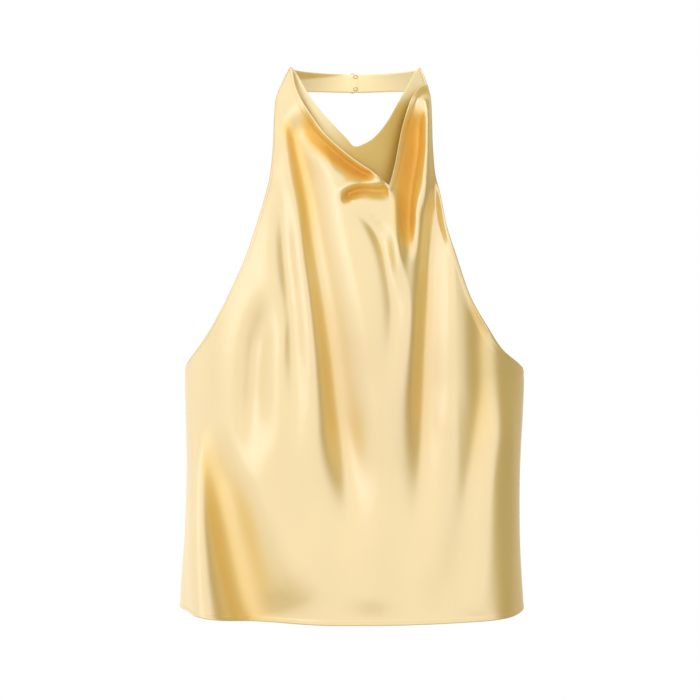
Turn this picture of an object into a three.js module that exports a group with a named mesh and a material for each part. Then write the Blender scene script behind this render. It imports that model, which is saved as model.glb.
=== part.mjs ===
// A halter neck top in satin, in the hollow form it has when it is worn.
// Millimetres. X runs across the front, with the left of the front view at -X. The front faces -Y. Z is up.
// The origin is in the middle of the neck ring, at the height of the neck strap's fastening.
import * as THREE from "three";

// Driving sizes
const CLOTH = 1.5; // wall of a single layer with its air and nap
const STRAP_WALL = 2.0; // the strap is two layers
const SEAM_GAP = 0.3;
const UNDERARM_Z = -298;
const CORNER_LEAD = 8; // the side seams start to turn in this far below the underarm
const YOKE_Z = -205; // above this the columns of the front lean towards the neckline
const MIDDLE_TURN_Z = -430; // from here up the columns near the middle draw together
const HEM_SIDE_Z = -541;
const HEM_FRONT_DROP = 9.5;
const HEM_LIFT = { share: -0.7, breadth: 0.22, rise: 4 }; // the hem rises where the left side stands out
const HEM_BACK_DROP = 5;
const BACK_TOP_DIP = 34; // how far the back's upper edge falls from the side seams
const SEAM_LEAD = 0.1; // share of the half width over which folds die away at an edge
const NAPE_Y = 88; // outer face of the strap at the nape
const STRAP_SEAM = { low: -22, high: 4.5 }; // the strap's ends on the seam with the front
const STRAP_NAPE = { low: -9.3, high: 8.7 }; // the strap's edges at the nape
const STRAP_SPLIT_X = 3.7; // where the two halves meet
const FACING_HEM_Z = -140;
// From the front's outer face back to the facing: at its sides, at its upper edge and low in the middle
const FACING_GAP = { side: 2.3, top: 5, low: 20 };
const FACING_WALL = 1.2;
const BUTTON_RADIUS = 2.9;
const BUTTON_X = -2;
const BUTTON_HEIGHTS = { upper: 6.6, lower: -6.2 };
const LOOP_CORD_RADIUS = 0.55;
const LOOP_FOOT_X = 8.2; // where the loops are sewn to the right half
const LOOP_FOOT_HALF_GAP = 0.85; // half the space between a loop's two ends

// Level sections, hem to neck. left and right are the outline's half widths. figure, depth and centre are
// the half width, front depth and middle of the oval that the front lies on; back is the depth behind.
const SECTIONS = [
  { z: -550, left: 178, right: 172.5, figure: 172, depth: 108, centre: 0, back: 101 },
  { z: -505, left: 175.5, right: 169.5, figure: 168, depth: 107, centre: 0, back: 97 },
  { z: -464, left: 172.4, right: 167.8, figure: 166, depth: 106.5, centre: 0, back: 92 },
  { z: -403, left: 170.6, right: 168, figure: 167, depth: 107.5, centre: 0, back: 87 },
  { z: -332, left: 172, right: 171.7, figure: 171, depth: 111, centre: 0, back: 90 },
  { z: -306, left: 172.4, right: 171.9, figure: 172.4, depth: 112.2, centre: 0, back: 92 },
  { z: -298, left: 171, right: 168.5, figure: 172.6, depth: 112.5, centre: 0, back: 92 },
  { z: -281, left: 157.6, right: 147.2, figure: 172, depth: 113.2, centre: 0, back: 92 },
  { z: -261, left: 143.3, right: 133.1, figure: 170, depth: 113.6, centre: 0, back: 92 },
  { z: -230, left: 126, right: 114.8, figure: 164, depth: 112.5, centre: 0, back: 92 },
  { z: -189, left: 107.6, right: 100.5, figure: 150, depth: 108, centre: 0, back: 92 },
  { z: -158, left: 97.4, right: 90.8, figure: 135, depth: 97, centre: -5, back: 92 },
  { z: -128, left: 88.7, right: 85.2, figure: 118, depth: 84, centre: -10, back: 92 },
  { z: -107, left: 84.2, right: 80.2, figure: 105, depth: 76, centre: -12, back: 92 },
  { z: -77, left: 81.6, right: 78, figure: 92, depth: 71, centre: -12, back: 92 },
  { z: -46, left: 81, right: 77.5, figure: 84, depth: 64, centre: -12, back: 92 },
  { z: -26, left: 79.3, right: 76.5, figure: 80.5, depth: 57, centre: -10, back: 92 },
  { z: -6, left: 71, right: 71, figure: 73, depth: 52, centre: -8, back: 92 },
  { z: 6, left: 64.3, right: 65.8, figure: 67, depth: 50, centre: -8, back: 92 },
];
const ROUNDNESS = 2.6; // the front oval's power: 2 would be an ellipse

// The neckline in front view. The left branch hangs from the left neck point and ends in the cowl's low
// tip, the right branch climbs from the tip to the right neck point.
const NECKLINE_LEFT = [
  [-63.5, 4],
  [-59, -18],
  [-42, -51],
  [-17, -80],
  [-6, -88],
  [15, -104],
  [34, -119],
];
const NECKLINE_RIGHT = [
  [34, -119],
  [38.5, -103],
  [43.5, -78],
  [51, -47],
  [57.5, -28],
  [66, -17.5],
  [74, -13],
];

// The V of the inner facing, in front view
const FACING_EDGE = [
  [-66, 5],
  [-46.6, -28],
  [-23.4, -56],
  [0, -82],
  [9, -78],
  [19, -72.5],
  [32.5, -56],
  [48.6, -28.5],
  [67.5, 6],
];

// The long falls of the front, from left to right. Each follows a line in front view. Going right across it
// the cloth steps in by the drop, over the wall's half breadth, and comes back out over the reach. A pair is
// the value at the line's first and last point. fade is the share of the length over which each end dies.
const FALLS = [
  {
    line: [[-150, -345], [-149, -379], [-144, -428], [-135, -478], [-125, -522], [-115, -552]],
    drop: [8, 24],
    wall: [6, 16],
    reach: [28, 90],
    fade: [0.35, 0],
  },
  {
    line: [[-90, -205], [-97, -240], [-104, -282], [-107, -331], [-109, -410]],
    drop: [18, 18],
    wall: [10, 12],
    reach: [34, 38],
    fade: [0.35, 0.45],
  },
  {
    line: [[-76, -90], [-75, -133], [-73, -182], [-68, -232], [-65, -282], [-63, -335], [-59, -400]],
    drop: [15, 17],
    wall: [8, 11],
    reach: [22, 30],
    fade: [0.3, 0.45],
  },
  {
    line: [[-71, -38], [-62, -84], [-53, -133], [-46, -182], [-38, -232], [-26, -331], [-4, -490]],
    drop: [15, 30],
    wall: [6, 14],
    reach: [32, 66],
    fade: [0.12, 0.4],
  },
  {
    line: [[-9, -143], [2, -150], [13, -160], [22, -177], [29, -205], [33, -240], [31, -282], [25, -340]],
    drop: [10, 9],
    wall: [5, 13],
    reach: [18, 28],
    fade: [0.2, 0.5],
  },
  {
    line: [[76, -95], [73, -133], [68, -182], [65, -232], [62, -282], [60, -331], [58, -428], [55, -490]],
    drop: [16, 28],
    wall: [6, 15],
    reach: [26, 52],
    fade: [0.15, 0.45],
  },
  {
    line: [[106, -190], [115, -232], [117, -282], [117, -331], [112, -380], [103, -428], [92, -490]],
    drop: [6, 7],
    wall: [7, 12],
    reach: [24, 34],
    fade: [0.25, 0.5],
  },
];
// The cowl's roll, from the tip leftwards: the cloth steps in under it
const ROLL_STEP = {
  line: [[34, -120], [24, -121], [12, -120.5], [2, -121], [-7, -124.5], [-11, -131], [-9, -141]],
  drop: [16, 10],
  wall: [3.6, 4],
  reach: [24, 15],
  fade: [0.12, 0.25],
};
// Ridges and troughs: the rise along a line, with half breadths on its left and right
const SIDE_SWELLS = [
  {
    line: [[-159, -325], [-159, -380], [-159, -428], [-158, -478], [-156, -522], [-153, -552]],
    rise: 42,
    left: [9, 11],
    right: [14, 38],
    fade: [0.65, 0],
  },
  {
    line: [[150, -300], [152, -380], [152, -460], [150, -552]],
    rise: 10,
    left: [26, 32],
    right: [16, 16],
    fade: [0.3, 0],
  },
];
const COWL_TROUGHS = [
  {
    line: [[-52, -40], [-38, -65], [-18, -85], [-2, -98], [12, -107], [24, -113]],
    rise: -13,
    left: [14, 15],
    right: [4, 3.5],
    fade: [0.3, 0.1],
  },
  {
    line: [[70, -30], [65, -55], [63, -83], [58, -109], [54.5, -130], [53, -160], [53, -200]],
    rise: -14,
    left: [19, 11],
    right: [4.5, 6],
    fade: [0.2, 0.3],
  },
];
const COWL_RIDGES = [
  {
    line: [[30, -116], [20, -116], [8, -115], [-2, -117.5], [-11, -123], [-15, -132]],
    rise: 4,
    left: [5, 5],
    right: [4, 4],
    fade: [0.1, 0.3],
  },
  {
    line: [[40, -119], [42, -145], [42, -185], [46, -240]],
    rise: 6,
    left: [6, 8],
    right: [5, 7],
    fade: [0.15, 0.5],
  },
];
// Soft upright folds of the back: the angle round from the left seam, rise and half breadth in degrees
const BACK_FOLDS = [
  { angle: 34, rise: -4, breadth: 8 },
  { angle: 71, rise: -5, breadth: 10 },
  { angle: 108, rise: -4, breadth: 9 },
  { angle: 143, rise: -5, breadth: 8 },
];

// How finely each wall is divided
const FRONT_GRID = { across: 56, tip: 36, hemToUnderarm: 9, underarmToYoke: 5, yokeToNeckline: 19 };
const BACK_GRID = { across: 26, up: 12 };
const FACING_GRID = { across: 40, up: 12 };
const STRAP_GRID = { along: 14, up: 2 };
const LINE_STEPS = 16;

// Curves and small sums

const mix = (a, b, share) => a + (b - a) * share;

function smoothStep(share) {
  const s = Math.min(1, Math.max(0, share));
  return s * s * (3 - 2 * s);
}

// The value of one column of SECTIONS at height z, on a cubic through the rows.
function sectionAt(column, z) {
  const rows = SECTIONS;
  const last = rows.length - 1;
  if (z <= rows[0].z) return rows[0][column];
  if (z >= rows[last].z) return rows[last][column];
  const i = rows.findIndex((row) => row.z > z) - 1;
  const slope = (k) => {
    const a = rows[Math.max(k - 1, 0)];
    const b = rows[Math.min(k + 1, last)];
    return (b[column] - a[column]) / (b.z - a.z);
  };
  const span = rows[i + 1].z - rows[i].z;
  const t = (z - rows[i].z) / span;
  const t2 = t * t;
  const t3 = t2 * t;
  return (
    rows[i][column] * (2 * t3 - 3 * t2 + 1) +
    rows[i + 1][column] * (3 * t2 - 2 * t3) +
    slope(i) * span * (t3 - 2 * t2 + t) +
    slope(i + 1) * span * (t3 - t2)
  );
}

const pathThrough = (points) =>
  new THREE.CatmullRomCurve3(points.map(([x, z]) => new THREE.Vector3(x, 0, z)), false, "centripetal");

// How a place of the front view lies to a line: its distance, the share of the line's length, and whether
// it is on the left of a line that runs down.
function lieTo(points, x, z) {
  const nearest = { distance: Infinity, along: 0, left: false };
  for (let k = 0; k < LINE_STEPS; k++) {
    const a = points[k];
    const b = points[k + 1];
    const dx = b.x - a.x;
    const dz = b.z - a.z;
    const t = Math.min(1, Math.max(0, ((x - a.x) * dx + (z - a.z) * dz) / (dx * dx + dz * dz)));
    const awayX = x - a.x - dx * t;
    const awayZ = z - a.z - dz * t;
    const distance = Math.hypot(awayX, awayZ);
    if (distance < nearest.distance) {
      nearest.distance = distance;
      nearest.along = (k + t) / LINE_STEPS;
      nearest.left = awayZ * dx < awayX * dz;
    }
  }
  return nearest;
}

const pairAt = (pair, along) => mix(pair[0], pair[1], along);

// How much of a fold is there, from the way its ends die away.
function presence(fade, along) {
  const start = fade[0] ? smoothStep(along / fade[0]) : 1;
  const end = fade[1] ? smoothStep((1 - along) / fade[1]) : 1;
  return start * end;
}

// A fall's rise at a place of the front view.
function fallShape(fall) {
  const points = pathThrough(fall.line).getSpacedPoints(LINE_STEPS);
  return (x, z) => {
    const { distance, along, left } = lieTo(points, x, z);
    const across = left ? -distance : distance;
    const step = 0.5 * (1 + Math.tanh(across / pairAt(fall.wall, along)));
    const back = 1 - smoothStep(across / pairAt(fall.reach, along));
    return -pairAt(fall.drop, along) * presence(fall.fade, along) * step * back;
  };
}

// A ridge's or trough's rise at a place of the front view.
function rippleShape(ripple) {
  const points = pathThrough(ripple.line).getSpacedPoints(LINE_STEPS);
  return (x, z) => {
    const { distance, along, left } = lieTo(points, x, z);
    const breadth = pairAt(left ? ripple.left : ripple.right, along);
    return ripple.rise * presence(ripple.fade, along) * Math.exp(-((distance / breadth) ** 2));
  };
}

const longFolds = [...FALLS.map(fallShape), ...COWL_TROUGHS.map(rippleShape)];
const surfaceFolds = [
  fallShape(ROLL_STEP),
  ...SIDE_SWELLS.map(rippleShape),
  ...COWL_RIDGES.map(rippleShape),
];
const riseOf = (folds, x, z) => folds.reduce((sum, fold) => sum + fold(x, z), 0);

// Front

// The column, -1 to 1, that ends in the cowl's low tip
const TIP_COLUMN = (2 * FRONT_GRID.tip) / FRONT_GRID.across - 1;

// The half width of the outline and of the figure on one side of a level section, and the edge's angle.
function sideOf(x, z) {
  const edge = sectionAt(x < 0 ? "left" : "right", z);
  const figure = Math.max(z > UNDERARM_Z - CORNER_LEAD ? sectionAt("figure", z) : 0, edge);
  return { edge, figure, angle: Math.asin(Math.min(1, edge / figure)) };
}

// The angle from the middle at which a share of the half width lies. At the side it is the outline's own;
// nearer the middle it closes in slowly with height, so the columns run smoothly past the underarm.
function angleOf(share, z) {
  const edge = sideOf(share, z).angle;
  const settled = sideOf(share, YOKE_Z).angle;
  const turn = smoothStep((z - MIDDLE_TURN_Z) / (YOKE_Z - MIDDLE_TURN_Z));
  const middle = z > YOKE_Z ? edge : mix(Math.PI / 2, settled, turn);
  return share * mix(middle, edge, Math.min(1, share ** 6));
}

// The share of the depth that the front's oval has at an angle from the middle.
const aheadOf = (angle) => Math.max(0, 1 - Math.abs(Math.sin(angle)) ** ROUNDNESS) ** (1 / ROUNDNESS);

// The plain form of the front at an angle from the middle, with its outward direction.
function frontForm(angle, z) {
  const { figure } = sideOf(angle, z);
  const depth = sectionAt("depth", z);
  const across = Math.sin(angle);
  const ahead = aheadOf(angle);
  const power = ROUNDNESS - 1;
  const y = sectionAt("centre", z) - depth * ahead - SEAM_GAP / 2;
  const outX = (Math.sign(across) * Math.abs(across) ** power) / figure;
  const out = new THREE.Vector3(outX, -(ahead ** power) / depth, 0).normalize();
  return { place: new THREE.Vector3(figure * across, y, z), out };
}

// The share of its height that a fold has at a share of the half width: it dies away at the side edges.
const foldShare = (share) => smoothStep((1 - Math.abs(share)) / SEAM_LEAD);

// The front with its folds, which stand out towards -Y.
function frontSurface(share, z) {
  const { place } = frontForm(angleOf(share, z), z);
  place.y -= riseOf([...longFolds, ...surfaceFolds], place.x, z) * foldShare(share);
  return place;
}

// The share of the half width at which a point of the front view lies.
function shareOf(x, z) {
  const { edge, figure, angle } = sideOf(x, z);
  return Math.max(-1, Math.min(1, Math.asin(Math.max(-edge, Math.min(edge, x)) / figure) / angle));
}

const necklineLeft = pathThrough(NECKLINE_LEFT);
const necklineRight = pathThrough(NECKLINE_RIGHT);

// Where a column of the front ends on the neckline.
function necklineEnd(column) {
  const onLeft = column < TIP_COLUMN;
  const along = onLeft ? (column + 1) / (1 + TIP_COLUMN) : (column - TIP_COLUMN) / (1 - TIP_COLUMN);
  const point = (onLeft ? necklineLeft : necklineRight).getPointAt(Math.min(1, Math.max(0, along)));
  const outer = Math.abs(column) > 1 - 1e-9 ? Math.sign(column) : shareOf(point.x, point.z);
  return { share: outer, z: point.z };
}

// The height of the front's hem at a column, -1 to 1.
function frontHem(column) {
  const lift = HEM_LIFT.rise * Math.exp(-(((column - HEM_LIFT.share) / HEM_LIFT.breadth) ** 2));
  return HEM_SIDE_Z - HEM_FRONT_DROP * Math.cos((column * Math.PI) / 2) + lift;
}

// A point of the front's grid.
function frontPoint(i, j) {
  const grid = FRONT_GRID;
  const column = -1 + (2 * i) / grid.across;
  const belowYoke = grid.hemToUnderarm + grid.underarmToYoke;
  if (j <= grid.hemToUnderarm) {
    return frontSurface(column, mix(frontHem(column), UNDERARM_Z, j / grid.hemToUnderarm));
  }
  if (j <= belowYoke) {
    return frontSurface(column, mix(UNDERARM_Z, YOKE_Z, (j - grid.hemToUnderarm) / grid.underarmToYoke));
  }
  const end = necklineEnd(column);
  const step = (j - belowYoke) / grid.yokeToNeckline;
  const climb = step * (1.4 - 0.4 * step);
  const lean = climb ** 2.5;
  return frontSurface(mix(column, end.share, lean), mix(YOKE_Z, end.z, climb));
}

// Walls

// A closed wall on a grid of points of its outer face. limit(normal, i, j) may turn the wall at an edge.
function wall(across, up, pointAt, thickness, limit) {
  const outer = [];
  for (let j = 0; j <= up; j++) {
    for (let i = 0; i <= across; i++) outer.push(pointAt(i, j));
  }
  const at = (i, j) => j * (across + 1) + i;
  const inner = outer.map((point, k) => {
    const i = k % (across + 1);
    const j = Math.floor(k / (across + 1));
    const alongRow = outer[at(Math.min(i + 1, across), j)].clone().sub(outer[at(Math.max(i - 1, 0), j)]);
    const alongColumn = outer[at(i, Math.min(j + 1, up))].clone().sub(outer[at(i, Math.max(j - 1, 0))]);
    const normal = alongRow.cross(alongColumn).normalize();
    if (limit) limit(normal, i, j);
    return point.clone().addScaledVector(normal.normalize(), -thickness);
  });
  const count = outer.length;
  const index = [];
  const face = (a, b, c, d) => index.push(a, b, c, a, c, d);
  for (let j = 0; j < up; j++) {
    for (let i = 0; i < across; i++) {
      const [a, b, c, d] = [at(i, j), at(i + 1, j), at(i + 1, j + 1), at(i, j + 1)];
      face(a, b, c, d);
      face(count + a, count + d, count + c, count + b);
    }
  }
  for (let i = 0; i < across; i++) {
    face(at(i + 1, 0), at(i, 0), count + at(i, 0), count + at(i + 1, 0));
    face(at(i, up), at(i + 1, up), count + at(i + 1, up), count + at(i, up));
  }
  for (let j = 0; j < up; j++) {
    face(at(0, j), at(0, j + 1), count + at(0, j + 1), count + at(0, j));
    face(at(across, j + 1), at(across, j), count + at(across, j), count + at(across, j + 1));
  }
  const position = new Float32Array([...outer, ...inner].flatMap((p) => [p.x, p.y, p.z]));
  const geometry = new THREE.BufferGeometry();
  geometry.setAttribute("position", new THREE.BufferAttribute(position, 3));
  geometry.setIndex(index);
  geometry.computeVertexNormals();
  return geometry;
}

function frontGeometry() {
  const grid = FRONT_GRID;
  const up = grid.hemToUnderarm + grid.underarmToYoke + grid.yokeToNeckline;
  const squareEdges = (normal, i, j) => {
    if (j === 0) normal.z = 0;
    if (i === 0 || i === grid.across) normal.y = 0;
  };
  return wall(grid.across, up, frontPoint, CLOTH, squareEdges);
}

// Back

// The back goes round from the right side seam to the left one.
function backPoint(i, j) {
  const turn = (i / BACK_GRID.across) * Math.PI;
  const across = Math.cos(turn);
  const behind = Math.sin(turn);
  const hem = HEM_SIDE_Z - HEM_BACK_DROP * behind;
  const top = UNDERARM_Z - 1 - BACK_TOP_DIP * smoothStep(behind * 1.1);
  const z = mix(hem, top, j / BACK_GRID.up);
  const edge = sectionAt(across < 0 ? "left" : "right", Math.min(z, UNDERARM_Z - CORNER_LEAD));
  const depth = sectionAt("back", z);
  const degrees = 180 - (turn * 180) / Math.PI;
  const rise = BACK_FOLDS.reduce(
    (sum, fold) => sum + fold.rise * Math.exp(-(((degrees - fold.angle) / fold.breadth) ** 2)),
    0
  );
  const place = new THREE.Vector3(edge * across, depth * behind + SEAM_GAP / 2, z);
  const out = new THREE.Vector3(across / edge, behind / depth, 0).normalize();
  return place.addScaledVector(out, rise * smoothStep(behind / 0.3));
}

function backGeometry() {
  const squareEdges = (normal, i, j) => {
    if (j === 0 || j === BACK_GRID.up) normal.z = 0;
    if (i === 0 || i === BACK_GRID.across) normal.y = 0;
  };
  return wall(BACK_GRID.across, BACK_GRID.up, backPoint, CLOTH, squareEdges);
}

// Facing

const facingEdge = pathThrough(FACING_EDGE);

// The facing hangs behind the front from the two neck points, close to it only there.
function facingPoint(i, j) {
  const along = i / FACING_GRID.across;
  const up = j / FACING_GRID.up;
  const top = facingEdge.getPointAt(along);
  const sideways = 2 * along - 1;
  const z = mix(FACING_HEM_Z, top.z, up);
  const share = mix(sideways, shareOf(top.x, top.z), up ** 1.5);
  const { place, out } = frontForm(share * sideOf(share, z).angle, z);
  const clear = mix(mix(FACING_GAP.low, FACING_GAP.top, up), FACING_GAP.side, Math.abs(share) ** 6);
  place.addScaledVector(out, -clear);
  place.y -= Math.min(0, riseOf(longFolds, place.x, z)) * foldShare(shareOf(place.x, z));
  return place;
}

const facingGeometry = () => wall(FACING_GRID.across, FACING_GRID.up, facingPoint, FACING_WALL);

// Neck strap

// Half of the strap, from the neck point's seam round to the nape. side is -1 for the left half and 1 for
// the right one.
function strapGeometry(side) {
  const split = side < 0 ? STRAP_SPLIT_X - SEAM_GAP / 2 : -STRAP_SPLIT_X - SEAM_GAP / 2;
  const pointAt = (i, j) => {
    const up = side > 0 ? j / STRAP_GRID.up : 1 - j / STRAP_GRID.up;
    const seamZ = mix(STRAP_SEAM.low, STRAP_SEAM.high, up);
    const { edge, figure, angle } = sideOf(side, seamZ);
    const seamY = sectionAt("centre", seamZ) - sectionAt("depth", seamZ) * aheadOf(angle) + SEAM_GAP;
    const width = Math.min(edge, figure);
    const last = Math.acos(-split / width);
    const turn = (i / STRAP_GRID.along) * last;
    const behind = Math.sin(Math.min(turn, Math.PI / 2));
    const z = mix(seamZ, mix(STRAP_NAPE.low, STRAP_NAPE.high, up), smoothStep(behind));
    return new THREE.Vector3(side * width * Math.cos(turn), seamY + (NAPE_Y - seamY) * Math.sin(turn), z);
  };
  const squareEdges = (normal, i, j) => {
    normal.z = 0;
    if (i === 0) normal.y = 0;
    if (i === STRAP_GRID.along) normal.x = 0;
  };
  return wall(STRAP_GRID.along, STRAP_GRID.up, pointAt, STRAP_WALL, squareEdges);
}

// Fastening

function buttonGeometry() {
  const r = BUTTON_RADIUS;
  const profile = [
    [0, 0],
    [r * 0.9, 0],
    [r, r * 0.3],
    [r * 0.86, r * 0.68],
    [r * 0.5, r * 0.95],
    [0, r * 1.05],
  ];
  return new THREE.LatheGeometry(profile.map(([x, y]) => new THREE.Vector2(x, y)), 16);
}

// A cord loop that leaves the right half's end, goes round a button and comes back.
function loopGeometry() {
  const reach = BUTTON_RADIUS + SEAM_GAP + LOOP_CORD_RADIUS;
  const foot = LOOP_FOOT_X - BUTTON_X;
  const points = [new THREE.Vector3(foot, 0, LOOP_FOOT_HALF_GAP)];
  for (let degrees = 60; degrees <= 300; degrees += 30) {
    const turn = THREE.MathUtils.degToRad(degrees);
    points.push(new THREE.Vector3(reach * Math.cos(turn), 0, reach * Math.sin(turn)));
  }
  points.push(new THREE.Vector3(foot, 0, -LOOP_FOOT_HALF_GAP));
  const section = new THREE.Shape();
  section.absarc(0, 0, LOOP_CORD_RADIUS, 0, 2 * Math.PI);
  return new THREE.ExtrudeGeometry(section, {
    steps: 26,
    curveSegments: 4,
    extrudePath: new THREE.CatmullRomCurve3(points),
    bevelEnabled: false,
  });
}

// Assembly

const satin = (color, roughness) =>
  new THREE.MeshStandardMaterial({ color, roughness, metalness: 0, side: THREE.DoubleSide });
const faceSatin = satin(0xf3e0b0, 0.35);
const reverseSatin = satin(0xcdb273, 0.75);
const corded = satin(0xe9cf95, 0.5);

const top = new THREE.Group();

function addPiece(name, geometry, material) {
  const mesh = new THREE.Mesh(geometry, material);
  mesh.name = name;
  top.add(mesh);
  return mesh;
}

addPiece("front_panel", frontGeometry(), faceSatin);
addPiece("back_panel", backGeometry(), faceSatin);
addPiece("cowl_facing", facingGeometry(), reverseSatin);
addPiece("neck_strap_left", strapGeometry(-1), faceSatin);
addPiece("neck_strap_right", strapGeometry(1), faceSatin);
for (const [place, height] of Object.entries(BUTTON_HEIGHTS)) {
  const button = addPiece(`nape_button_${place}`, buttonGeometry(), corded);
  button.position.set(BUTTON_X, NAPE_Y + SEAM_GAP, height);
  const loop = addPiece(`nape_loop_${place}`, loopGeometry(), corded);
  loop.position.set(BUTTON_X, NAPE_Y + SEAM_GAP + LOOP_CORD_RADIUS, height);
}

export default top;
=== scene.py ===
"""Halter neck top in pale gold satin, filled out and held at the neck.

Sizes are millimetres until a mesh is made.
"""

import logging
import math
from dataclasses import dataclass, field
from enum import Enum

import bpy
import numpy as np
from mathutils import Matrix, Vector


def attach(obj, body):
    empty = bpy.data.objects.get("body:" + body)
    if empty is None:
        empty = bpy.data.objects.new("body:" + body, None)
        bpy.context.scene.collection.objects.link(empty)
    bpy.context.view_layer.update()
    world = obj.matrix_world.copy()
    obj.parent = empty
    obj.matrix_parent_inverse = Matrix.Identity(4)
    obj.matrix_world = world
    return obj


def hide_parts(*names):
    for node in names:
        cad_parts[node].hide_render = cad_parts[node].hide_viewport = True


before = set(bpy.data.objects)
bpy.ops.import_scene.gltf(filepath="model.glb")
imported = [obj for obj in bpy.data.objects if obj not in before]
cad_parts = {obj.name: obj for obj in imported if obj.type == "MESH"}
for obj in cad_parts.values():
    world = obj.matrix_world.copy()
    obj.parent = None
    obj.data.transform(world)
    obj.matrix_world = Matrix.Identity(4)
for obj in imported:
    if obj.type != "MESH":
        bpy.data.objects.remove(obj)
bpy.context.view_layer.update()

LOG = logging.getLogger("halter_top")
MM = 0.001
SEAM_GAP = 0.3
# How finely a curve is laid between two of its named points, and how finely a fold's line is followed
SPAN_STEPS = 24
LINE_STEPS = 32
# How closely what holds at the cloth's side edges keeps to them
EDGE_POWER = 6
# The largest chance turn of a stitch, in radians
STITCH_TURN = (0.05, 0.05, 0.1)

Points = np.ndarray
Line = tuple[tuple[float, float], ...]
Triple = tuple[float, float, float]
Tone = tuple[int, int, int]
Colour = tuple[float, float, float, float]


class Side(Enum):
    """One side of the front view."""

    LEFT = -1
    RIGHT = 1


class Cloth(Enum):
    """Which slot of a shell a face belongs to."""

    FACE = 0
    REVERSE = 1


# Curves and easing


def smooth_step(share: Points) -> Points:
    """Ease from 0 to 1.

    Args:
        share: values, of which those outside 0 to 1 are held at the ends.

    Returns:
        The eased values.
    """
    s = np.clip(share, 0.0, 1.0)
    return s * s * (3.0 - 2.0 * s)


def mix(a: Points, b: Points, share: Points) -> Points:
    """Return the value a share of the way from a to b."""
    return a + (b - a) * share


def bell(away: Points, breadth: Points) -> Points:
    """Return a smooth hump, which is 1 in its middle and falls away over its breadth."""
    return np.exp(-((away / breadth) ** 2))


def unit(vectors: Points) -> Points:
    """Return the vectors, each made one long."""
    return vectors / np.linalg.norm(vectors, axis=-1, keepdims=True)


def lengths(points: Points, axis: int) -> Points:
    """Return how far each point lies from the first one along an axis of the grid, measured over the cloth."""
    steps = np.linalg.norm(np.diff(points, axis=axis), axis=-1)
    return np.concatenate([0 * steps.take([0], axis), np.cumsum(steps, axis=axis)], axis=axis)


def curve_through(points: Line, count: int) -> Points:
    """Lay a smooth curve through points.

    Args:
        points: the points that the curve passes.
        count: how many evenly spaced points to return.

    Returns:
        An array of count points.
    """
    p = np.array(points, float)
    p = np.vstack([2 * p[0] - p[1], p, 2 * p[-1] - p[-2]])
    dense = []
    for a, b, c, d in zip(p, p[1:], p[2:], p[3:]):
        t1 = math.sqrt(np.linalg.norm(b - a))
        t2 = t1 + math.sqrt(np.linalg.norm(c - b))
        t3 = t2 + math.sqrt(np.linalg.norm(d - c))
        t = np.linspace(t1, t2, SPAN_STEPS, endpoint=False)[:, None]
        ab = a + (b - a) * t / t1
        bc = b + (c - b) * (t - t1) / (t2 - t1)
        cd = c + (d - c) * (t - t2) / (t3 - t2)
        abc = ab + (bc - ab) * t / t2
        bcd = bc + (cd - bc) * (t - t1) / (t3 - t1)
        dense.append(abc + (bcd - abc) * (t - t1) / (t2 - t1))
    return evenly(np.vstack([*dense, p[-2][None]]), count)


def evenly(line: Points, count: int) -> Points:
    """Respace a polyline's points evenly.

    Args:
        line: the polyline's points.
        count: how many points to return.

    Returns:
        An array of count points at equal distances along the line.
    """
    length = lengths(line, 0)
    at = np.linspace(0.0, length[-1], count)
    return np.stack([np.interp(at, length, line[:, k]) for k in range(line.shape[1])], axis=1)


# The plain form and its folds


@dataclass(frozen=True)
class Section:
    """A level section of the plain form.

    It has its height, the outline's half widths left and right, the figure's half width, how far the front stands
    before the figure's centre, where that centre lies, and how far the back stands behind.
    """

    z: float
    left: float
    right: float
    figure: float
    depth: float
    centre: float
    back: float


SECTIONS = (
    Section(-550, 178, 172.5, 172, 108, 0, 101),
    Section(-505, 175.5, 169.5, 168, 107, 0, 97),
    Section(-464, 172.4, 167.8, 166, 106.5, 0, 92),
    Section(-403, 170.6, 168, 167, 107.5, 0, 87),
    Section(-332, 172, 171.7, 171, 111, 0, 90),
    Section(-306, 172.4, 171.9, 172.4, 112.2, 0, 92),
    Section(-298, 171, 168.5, 172.6, 112.5, 0, 92),
    Section(-281, 157.6, 147.2, 172, 113.2, 0, 92),
    Section(-261, 143.3, 133.1, 170, 113.6, 0, 92),
    Section(-230, 126, 114.8, 164, 112.5, 0, 92),
    Section(-189, 107.6, 100.5, 150, 108, 0, 92),
    Section(-158, 97.4, 90.8, 135, 97, -5, 92),
    Section(-128, 88.7, 85.2, 118, 84, -10, 92),
    Section(-107, 84.2, 80.2, 105, 76, -12, 92),
    Section(-77, 81.6, 78, 92, 71, -12, 92),
    Section(-46, 81, 77.5, 84, 64, -12, 92),
    Section(-26, 79.3, 76.5, 80.5, 57, -10, 92),
    Section(-6, 71, 71, 73, 52, -8, 92),
    Section(6, 64.3, 65.8, 67, 50, -8, 92),
)


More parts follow.
